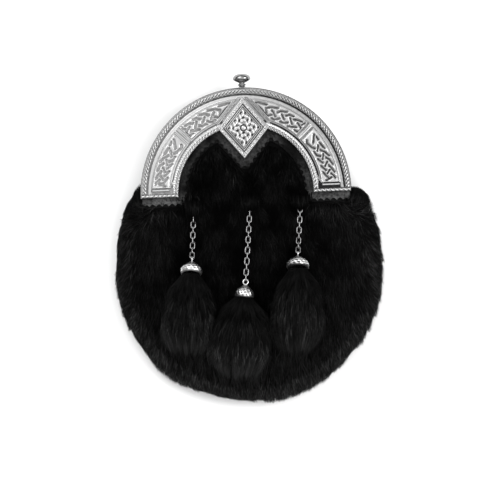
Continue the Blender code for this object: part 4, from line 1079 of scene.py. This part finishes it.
def pelt_skin():
    """Rings round the hub out to the skin's edge on its top, and back in on its underside."""
    steps = 300
    turns = np.arange(steps) * 2.0 * math.pi / steps - math.pi
    edge = np.interp(turns, TURNS, SKIN_EDGE) - np.where(np.sin(turns) > 0.45, 0.3, 2.0)
    share = np.concatenate((np.linspace(0.02, 0.84, 26), np.linspace(0.86, 0.99, 12),
                            (0.996, 1.0)))
    r = edge[None, :] * share[:, None]
    x, y = r * np.cos(turns), PELT_HUB[1] + r * np.sin(turns)
    top = np.stack((x, y, pelt_top(x, y, edge - r)), axis=-1)
    under = np.stack((x, y, pelt_floor(x, y) + 0.2), axis=-1)[::-1]
    rings = np.concatenate((top, under[1::3], under[-1:]))
    hubs = [(*PELT_HUB, top[0, :, 2].mean()), (*PELT_HUB, under[-1, :, 2].mean())]
    points, faces = closed_rings(rings, hubs)
    half = np.full(len(points), 0.5)
    return points, faces, half, half


def add_soft_piece(name, shape, material, nodes):
    """A piece from points, faces and the two values per point that its hair material reads:
    how far along its hair the point is, and the hair's tone."""
    points, faces, along, tone = shape
    piece = add_piece(name, points, faces, material, nodes, weld=False)
    piece.data.validate()
    store(piece, "along", along)
    store(piece, "tone", tone)
    return piece


outwards(add_soft_piece("pelt_skin", pelt_skin(), skin_material, ["fur_cover"]))


def strands(root, tip, radius, middle=None):
    """Three-sided hairs with a closed foot, straight, or bent once at a middle point, and how
    far along its hair each point is."""
    ahead = unit((tip if middle is None else middle) - root)
    # A fixed direction that no hair takes gives each its two others
    across = unit(np.cross(ahead, (0.31, 0.17, 0.93)))
    other = np.cross(ahead, across)
    turn = np.arange(3) * 2.0 * math.pi / 3
    rim = (across[:, None, :] * np.cos(turn)[None, :, None]
           + other[:, None, :] * np.sin(turn)[None, :, None]) * radius[:, None, None]
    rows = [root[:, None] + rim, tip[:, None]]
    one = [(0, 2, 1), (0, 1, 3), (1, 2, 3), (2, 0, 3)]
    along = [0.15] * 3 + [1.0]
    if middle is not None:
        rows = [root[:, None] + rim, middle[:, None] + rim, tip[:, None]]
        one = [(0, 2, 1), (0, 1, 4), (0, 4, 3), (1, 2, 5), (1, 5, 4), (2, 0, 3), (2, 3, 5),
               (3, 4, 6), (4, 5, 6), (5, 3, 6)]
        along = [0.15] * 3 + [0.7] * 3 + [1.0]
    points = np.concatenate(rows, axis=1)
    faces = np.array(one)[None] + (np.arange(len(root)) * len(along))[:, None, None]
    return points.reshape(-1, 3), faces.reshape(-1, 3), np.tile(along, len(root))


def drift(x, y, phase):
    """Two smooth fields in -1 to 1, by which hairs gather in locks 7 to 15 mm wide."""
    a = np.sin(0.52 * x + 0.19 * y + phase + 1.2 * np.sin(0.13 * y + 0.07 * x))
    b = np.sin(0.31 * x - 0.37 * y + 2.1 * phase + 1.5 * np.sin(0.11 * x - 0.09 * y))
    c = np.sin(0.87 * x + 0.43 * y - 1.7 * phase + np.sin(0.23 * y))
    d = np.sin(0.21 * x + 0.71 * y + 0.9 * phase + 1.1 * np.sin(0.17 * x))
    return 0.45 * a + 0.30 * b + 0.25 * c, 0.5 * d + 0.5 * b


def pelt_hairs(count, seed, low_share, bent):
    """Hairs that fall from the backing, turn outwards near the rim and stand up beside the
    cantle's feet; their tips end on the fur's outline. A waved sum of drifts gives the locks
    and streaks, and the tone a fourth power of chance, so that few hairs are pale."""
    pick = np.random.default_rng(seed)
    # Roots, thinned so that they are even over the skin
    turns = pick.uniform(-math.pi, math.pi, count * 3)
    edge = np.interp(turns, TURNS, SKIN_EDGE) - np.where(np.sin(turns) > 0.45, 0.1, 1.2)
    share = np.sqrt(pick.uniform(low_share ** 2, 1.0, len(turns)))
    keep = pick.random(len(turns)) < (edge / 97.0) ** 2
    turns, edge, share = turns[keep][:count], edge[keep][:count], share[keep][:count]
    x, y = edge * share * np.cos(turns), PELT_HUB[1] + edge * share * np.sin(turns)
    push_x, push_y = drift(x, y, 0.0)

    # Growth: down and in locks, outwards at the rim and up at the shoulders
    edge_share = reach(x, y, FUR_DROP_MM, FUR_SIDE_MM)
    rim = smooth_step((edge_share - 0.70) / 0.30)
    shoulder = smooth_step((y + 26.0) / 18.0) * smooth_step((np.abs(x) - 62.0) / 14.0)
    below = y + WIDEST_MM
    out = unit(np.stack((x, np.where(below > 0.0, 0.25 * below, below)), axis=1))
    flow = unit(np.stack((0.35 * push_x, -1.0 + 0.25 * push_y), axis=1))
    flow = unit(flow * (1.0 - 0.6 * rim)[:, None] + out * (0.6 * rim)[:, None])
    lift = np.stack((np.sign(x) * 0.45, 0.9 + 0.0 * x), axis=1)
    flow = unit(flow * (1.0 - shoulder)[:, None] + lift * shoulder[:, None]
                + pick.normal(0.0, 0.20, (len(x), 2)))
    length = pick.uniform(7.5, 13.5, len(x)) * (1.0 + 0.15 * push_y)
    end = np.stack((x, y), 1) + flow * length[:, None]
    end += 1.6 * np.stack((push_x, push_y), axis=1) * (1.0 - rim)[:, None]

    # Ends, drawn in to the fringe with a ragged edge
    from_hub = end - PELT_HUB
    far = np.linalg.norm(from_hub, axis=1)
    limit = np.interp(np.arctan2(from_hub[:, 1], from_hub[:, 0]), TURNS, HAIR_EDGE)
    down = 1.0 - from_hub[:, 1] / np.maximum(far, 1.0)
    saw = (5.6 * down + 0.5 * np.sin(9.0 * down) + 0.2 * np.sign(x)) % 1.0
    fuzz = np.clip(pick.normal(-0.6, 0.8, len(x)), -4.0, 0.7) + 1.8 * (saw - 0.6)
    fuzz += 0.6 * drift(*end.T, 1.0)[0]
    end = PELT_HUB + from_hub * np.minimum(1.0, (limit + fuzz) / far)[:, None]

    # Heights: from inside the underfur up to the crests, drooping at the rim
    ground = pelt_top(x, y, edge * (1.0 - share) + 0.4)
    root = np.stack((x, y, ground - 1.0), axis=1)
    streak = 0.6 * drift(2.3 * x, 0.5 * y, 5.0)[0] + 0.4 * drift(4.6 * x, 1.1 * y, 6.0)[0]
    rise = pick.uniform(-1.6, 0.6, len(x)) + 0.7 * drift(x, y, 2.0)[1] + 0.9 * streak

    def crest(place):
        """Height of the crests in mm, also outside the outline."""
        inside = reach(place[:, 0], place[:, 1], FUR_DROP_MM, FUR_SIDE_MM) < 0.995
        return np.where(inside, fur_height(place[:, 0], place[:, 1]), FUR_EDGE_MM)

    droop = rim * pick.uniform(0.0, 8.0, len(x))
    tip = np.column_stack((end, np.maximum(np.minimum(crest(end) + rise, ground + 5.0)
                                           - droop, 0.8)))
    middle = None
    if bent:
        half = 0.5 * (np.stack((x, y), 1) + end)
        level = np.minimum(np.minimum(crest(half) + 0.6 * rise, ground + 4.5), 60.0)
        middle = np.column_stack((half, np.maximum(0.6 * level + 0.2 * (root[:, 2] + tip[:, 2]),
                                                   1.0)))
    points, faces, along = strands(root, tip, pick.uniform(0.12, 0.26, len(x)), middle)
    # Tone: paler towards the rim and the foot, in clouds and streaks
    pale = smooth_step((edge_share - 0.40) / 0.60)
    pale = 0.26 * pale + 0.32 * smooth_step((-y - 50.0) / 90.0)
    cloud = drift(x * 0.35, y * 0.35, 3.0)[0] + 0.6 * drift(x * 0.8, y * 0.6, 4.0)[1]
    patch = (0.10 + pale + 0.14 * cloud) * (1.0 + 0.6 * streak)
    tone = np.repeat(patch * (0.22 + 2.1 * pick.random(len(x)) ** 4), len(along) // len(x))
    return points, faces, along, np.clip(tone, 0.0, 1.0)


for number, (count, low_share, bent) in enumerate(((36000, 0.0, False), (36000, 0.0, False),
                                                   (9000, 0.86, True))):
    add_soft_piece(f"pelt_hair_{number + 1}", pelt_hairs(count, 40 + number, low_share, bent),
                   hair_material, ["fur_cover"])


def shoulder_hairs(side, count, seed, outline):
    """Hairs that stand up beside a foot of the cantle, as far as an outline (x, y)."""
    pick = np.random.default_rng(seed)
    x = pick.uniform(SHOULDER_MM, 88.0, count)
    y = FOOT_MM - 0.5 - 8.2 * pick.random(count) ** 1.4
    end_x = x + pick.uniform(-2.5, 3.5, count)
    limit = np.interp(end_x, *np.array(outline).T)
    end_y = np.minimum(y + pick.uniform(11.0, 24.0, count),
                       limit - np.abs(pick.normal(0.0, 0.9, count)))
    low = np.minimum(pelt_top(x, y, np.full(count, 4.0)) - 1.0, 20.0)
    root = np.stack((side * x, y, low - pick.uniform(0.0, 6.0, count)), axis=1)
    tip_z = np.clip(root[:, 2] + pick.uniform(-4.0, 2.5, count), 1.5, 17.0)
    tip = np.stack((side * end_x, end_y, tip_z), axis=1)
    points, faces, along = strands(root, tip, pick.uniform(0.14, 0.28, count))
    tone = np.repeat(0.5 * pick.random(count) ** 3, len(along) // count)
    return points, faces, along, tone


for name, side, outline in (
        ("left", -1.0, [(72.0, 11.5), (76.5, 10.5), (80.0, 6.5), (82.5, 0.8), (86.3, -3.8),
                        (90.0, -11.0), (91.5, -18.0)]),
        ("right", 1.0, [(72.0, 2.0), (77.0, 2.6), (81.0, 2.0), (84.5, 0.0), (88.8, -4.0),
                        (91.8, -11.0), (93.0, -18.0)])):
    add_soft_piece(f"shoulder_hair_{name}", shoulder_hairs(side, 3200, 60, outline),
                   hair_material, ["fur_cover"])


def anchor_tufts(side, cover, seed):
    """Hairs that lie over the chain's disc and first links, down to cover mm below them."""
    pick = np.random.default_rng(seed)
    count = 900
    x0, y0, *_ = CHAINS[side]
    x = x0 + pick.normal(0.0, 3.2, count)
    y = y0 + pick.uniform(2.0, 9.5, count)
    end_x = x0 + 0.8 * (x - x0) + pick.normal(0.0, 0.8, count)
    end_y = y0 - cover * pick.uniform(0.1, 1.1, count) + 0.09 * (x - x0) ** 2
    root = np.stack((x, y, fur_height(x, y) - 2.5), axis=1)
    high = fur_height(x, y0) + 4.6 + pick.uniform(-1.6, 0.9, count) - 0.08 * (x - x0) ** 2
    middle = np.stack((0.5 * (x + end_x), np.full(count, y0 + 1.0), high), axis=1)
    tip_z = fur_height(end_x, end_y) + pick.uniform(1.0, 4.2, count)
    tip = np.stack((end_x, end_y, tip_z), axis=1)
    points, faces, along = strands(root, tip, pick.uniform(0.14, 0.28, count), middle)
    tone = np.repeat(0.2 * pick.random(count) ** 3, len(along) // count)
    return points, faces, along, tone


for number, (side, cover) in enumerate((("left", 11.0), ("middle", 7.5), ("right", 5.0))):
    add_soft_piece(f"anchor_tuft_{side}", anchor_tufts(side, cover, 80 + number),
                   hair_material, ["fur_cover"])


# Tassels. Bundles of long black rabbit hair, a little glossier than the pelt, bound in the
# caps and fanning out over it.

TASSEL_ROWS = np.array([  # share of the length, width, depth, lift, roundness
    (0.00, 0.31, 0.76, 1.00, 1.00), (0.07, 0.40, 0.82, 1.00, 1.00),
    (0.17, 0.70, 0.95, 0.45, 0.80), (0.33, 0.90, 1.00, 0.10, 0.50),
    (0.53, 0.98, 1.00, 0.00, 0.35), (0.73, 1.00, 0.92, 0.00, 0.30),
    (0.87, 0.93, 0.78, 0.00, 0.30), (0.96, 0.80, 0.60, 0.00, 0.30),
    (1.05, 0.66, 0.40, 0.00, 0.40)])

# Long hair: less matted than the pelt, so its wisps shine a little more, by more gloss and by
# paler painted highlights at their tips
tassel_hair = fur_material("long_black_rabbit_hair", "#020202", "#545454", 0.55, 0.08)


def tassel_point(side, along, angle, size):
    """A point in a tassel: share of its length, angle round the bundle, share of its size.
    The rows give a flattened round on the fur, which the neck draws into the cap's rim."""
    cap_radius, _, length, half_width, _, _ = TASSELS[side]
    _, _, rim, heading = tassel_place(side)
    width, depth, lift, roundness = (np.interp(along, TASSEL_ROWS[:, 0], TASSEL_ROWS[:, k])
                                     for k in (1, 2, 3, 4))
    neck = 1.0 - smooth_step((along - 0.05) / 0.14)
    full = 14.0 * depth * (1.0 - neck) + 1.6 * cap_radius * neck
    size = size + (0.97 - size) * 0.7 * neck
    half = (half_width * width * (1.0 - neck) + 0.80 * cap_radius * neck) * size
    centre = rim[:2] + heading * (along * length - 2.0)[..., None]
    side_way = np.array((-heading[1], heading[0]))
    spot = centre + side_way * (half * np.cos(angle))[..., None]
    below = (fur_height(spot[..., 0], spot[..., 1]) * (1.0 - lift)
             + fur_height(rim[0], rim[1]) * lift)
    head_up = rim[2] - fur_height(rim[0], rim[1])
    middle = below + (full / 2.0 + 0.8) * (1.0 - lift) + head_up * lift
    bend = np.sin(angle)
    bend = np.where(bend < 0.0, -np.abs(bend) ** roundness, bend)
    level = middle + full * size / 2.0 * bend
    return np.concatenate((spot, level[..., None]), axis=-1)


def add_tassel(side, seed):
    """A closed core, and on it hairs in five layers, from the cap down. Each layer is parted
    in locks, whose hairs draw together at a shared end, and some stand off."""
    rows, columns = 30, 40
    along = np.linspace(0.02, 0.90, rows)[:, None] + np.zeros((1, columns))
    angle = np.zeros((rows, 1)) + np.arange(columns)[None, :] * 2.0 * math.pi / columns
    core = tassel_point(side, along, angle, 0.82 - 0.45 * smooth_step(along, 0.74, 0.92))
    points, faces = closed_rings(core)
    half = np.full(len(points), 0.5)
    outwards(add_soft_piece(f"tassel_core_{side}", (points, faces, half, half),
                            skin_material, [f"tassel_fur_{side}"]))

    # Where each hair sits: its layer, its lock and how far off the lock's middle
    pick = np.random.default_rng(seed)
    count, locks = 5800, 19
    layer = pick.choice(5, count, p=(0.12, 0.15, 0.19, 0.23, 0.31))
    angle = pick.uniform(0.0, 2.0 * math.pi, count)
    angle = np.where((np.sin(angle) < 0.0) & (pick.random(count) < 0.6), -angle, angle)
    place = angle / (2.0 * math.pi) * locks + 0.37 * layer
    lock = np.floor(place).astype(int) % (locks + 2)
    off = (place % 1.0 - 0.5) * 2.0
    # Its ends along the bundle, and round it, where the lock draws it in
    shift, length, shade, height = pick.uniform(-1.0, 1.0, (4, 5, locks + 2))[:, layer, lock]
    end = np.array((0.25, 0.43, 0.62, 0.82, 1.03))[layer] + 0.06 * length
    end += pick.normal(0.0, 0.025, count) - 0.05 * off ** 2
    end -= 0.06 * np.abs(np.cos(angle)) ** 3 * (layer == 4)
    begin = np.maximum(end - pick.uniform(0.28, 0.46, count), 0.0)
    begin *= pick.uniform(0.6, 1.0, count)
    turn = 2.0 * math.pi / locks
    middle_angle = angle - 0.5 * turn * off
    bow = pick.normal(0.0, 0.04, count)
    angle_end = middle_angle + 0.5 * turn * (0.45 * off + 0.6 * shift) + 1.3 * bow
    # How far it stands out of the bundle, a few of them well off it
    depth = 1.0 + 0.07 * height - 0.09 * off ** 2 - pick.uniform(-0.04, 0.10, count)
    depth += 0.7 * (pick.random(count) - 0.75).clip(0.0)
    root = tassel_point(side, begin, angle, 0.78)
    middle = tassel_point(side, 0.5 * (begin + end), 0.5 * (angle + angle_end) + bow, depth)
    tip = tassel_point(side, end, angle_end, depth + 0.5 * (depth - 1.0).clip(0.0) - 0.02)
    points, faces, along = strands(root, tip, pick.uniform(0.13, 0.24, count), middle)
    # Painted shade: hairs darker towards the edges of each lock, which draws dark gaps between
    # the locks; hairs that end near the cap are darker too
    bright = (0.12 + 0.98 * smooth_step(end, 0.35, 1.00)) * (0.55 + 0.45 * shade)
    bright *= (1.0 - 0.8 * np.abs(off)) * (0.10 + 1.2 * pick.random(count) ** 3)
    tone = np.clip(np.repeat(bright, len(along) // count), 0.0, 1.0)
    add_soft_piece(f"tassel_hair_{side}", (points, faces, along, tone), tassel_hair,
                   [f"tassel_fur_{side}"])


for number, side in enumerate(TASSELS):
    add_tassel(side, 70 + number)


# Back fittings. D rings of nickel-plated steel wire for the waist strap, held in looped
# leather tabs with two rows of stitches, and the press stud that closes the pouch.

RING_PLACE = np.array((43.99, 36.01, 2.7))  # middle of the right ring's bar
BAR_MM = 8.0  # half the straight bar of a ring
BOW_MM = 11.0  # how far its bow stands out
TAB_MM = 1.95  # radius of a tab's loop, to the middle of the leather

# Nickel plate: bright and warm grey, its shine uneven from handling
nickel, tree, shader, place = new_material("nickel_plated_steel", Metallic=1.0,
                                           Base_Color=linear("#c9c9c9"))
stain = add_node(tree, "TexNoise", {"Scale": 700.0, "Detail": 5.0, "Vector": place})
dull = add_node(tree, "MapRange", {"Value": stain.outputs["Fac"], "To Min": 0.15,
                                   "To Max": 0.38})
fill(tree, shader, {"Roughness": dull.outputs["Result"]})
# Strap hide: finer grain and more finish than the panels, so glossier
tab_leather = leather_material("strap_cowhide", ("#101010", "#1a1a1a"), 0.6, 0.5, 0.4)


def d_ring():
    """Round wire along half an ellipse and back along its straight bar."""
    a = np.linspace(0.0, math.pi, 40)
    bar = np.linspace(BAR_MM, -BAR_MM, 14)[1:-1]
    path = np.concatenate((np.stack((BOW_MM * np.sin(a), -BAR_MM * np.cos(a), 0.0 * a), 1),
                           np.stack((0.0 * bar, bar, 0.0 * bar), 1)))
    return closed_tube(path, UPWARDS, 1.0, 14)


def tab_strip():
    """A strip's section carried along the tab and round its loop over the ring's bar."""
    loop = [(TAB_MM * math.cos(t), TAB_MM * math.sin(t))
            for t in np.linspace(math.pi / 2, -math.pi * 0.9, 22)]
    path = np.array([(x, TAB_MM) for x in (-22.0, -16.0, -9.0, -3.0)] + loop)
    ahead = unit(np.gradient(path, axis=0))
    out = np.stack((-ahead[:, 1], ahead[:, 0]), axis=1)
    section = np.array([(0.65, -5.7), (0.65, 5.7), (0.45, 6.0), (-0.45, 6.0), (-0.65, 5.7),
                        (-0.65, -5.7), (-0.45, -6.0), (0.45, -6.0)])
    plan = path[:, None, :] + out[:, None, :] * section[None, :, :1]
    width = np.broadcast_to(section[None, :, 1], plan.shape[:2])
    return closed_rings(np.stack((plan[..., 0], width, plan[..., 1]), axis=-1))


def tab_stitches():
    """Two rows across the tab, one at its root and one beside the loop."""
    x, y = np.meshgrid((-19.5, -5.0), np.arange(-4.5, 4.6, 1.8), indexing='ij')
    spots = np.stack((x.ravel(), y.ravel(), np.full(x.size, 1.28)), axis=1)
    forward = np.tile((0.0, 1.0, 0.0), (len(spots), 1))
    return capsules(spots, forward, np.tile(-UPWARDS, (len(spots), 1)), 1.3, 0.22)


for name, side in (("left", -1.0), ("right", 1.0)):
    for title, shape, material, slot, nodes, smooth_angle, weld in (
            ("d_ring", d_ring(), nickel, "nickel_plate", [f"strap_ring_{name}"], 60.0, True),
            ("tab_strip", tab_strip(), tab_leather, "black_leather", [f"ring_tab_{name}"],
             50.0, True),
            ("tab_stitches", tab_stitches(), thread, "black_leather", [], 180.0, False)):
        points, faces = shape
        points = (points + RING_PLACE) * (side, 1.0, 1.0)
        piece = add_piece(f"{title}_{name}", points, faces, material, nodes,
                          smooth_angle, weld)
        piece.data.validate()
        outwards(piece)

stud = smoothed([(0.0, 1.0), (0.85, 1.0), (1.0, 0.86), (0.66, 0.64), (0.60, 0.5), (0.66, 0.36),
                 (1.0, 0.14), (0.85, 0.0), (0.0, 0.0)])
points, faces = turned(stud * (6.0, 6.8), 40)
outwards(add_piece("snap_stud", stood(points, np.array((0.0, 58.0, 7.9)), UPWARDS), faces,
                   nickel, ["press_stud"], 50.0))
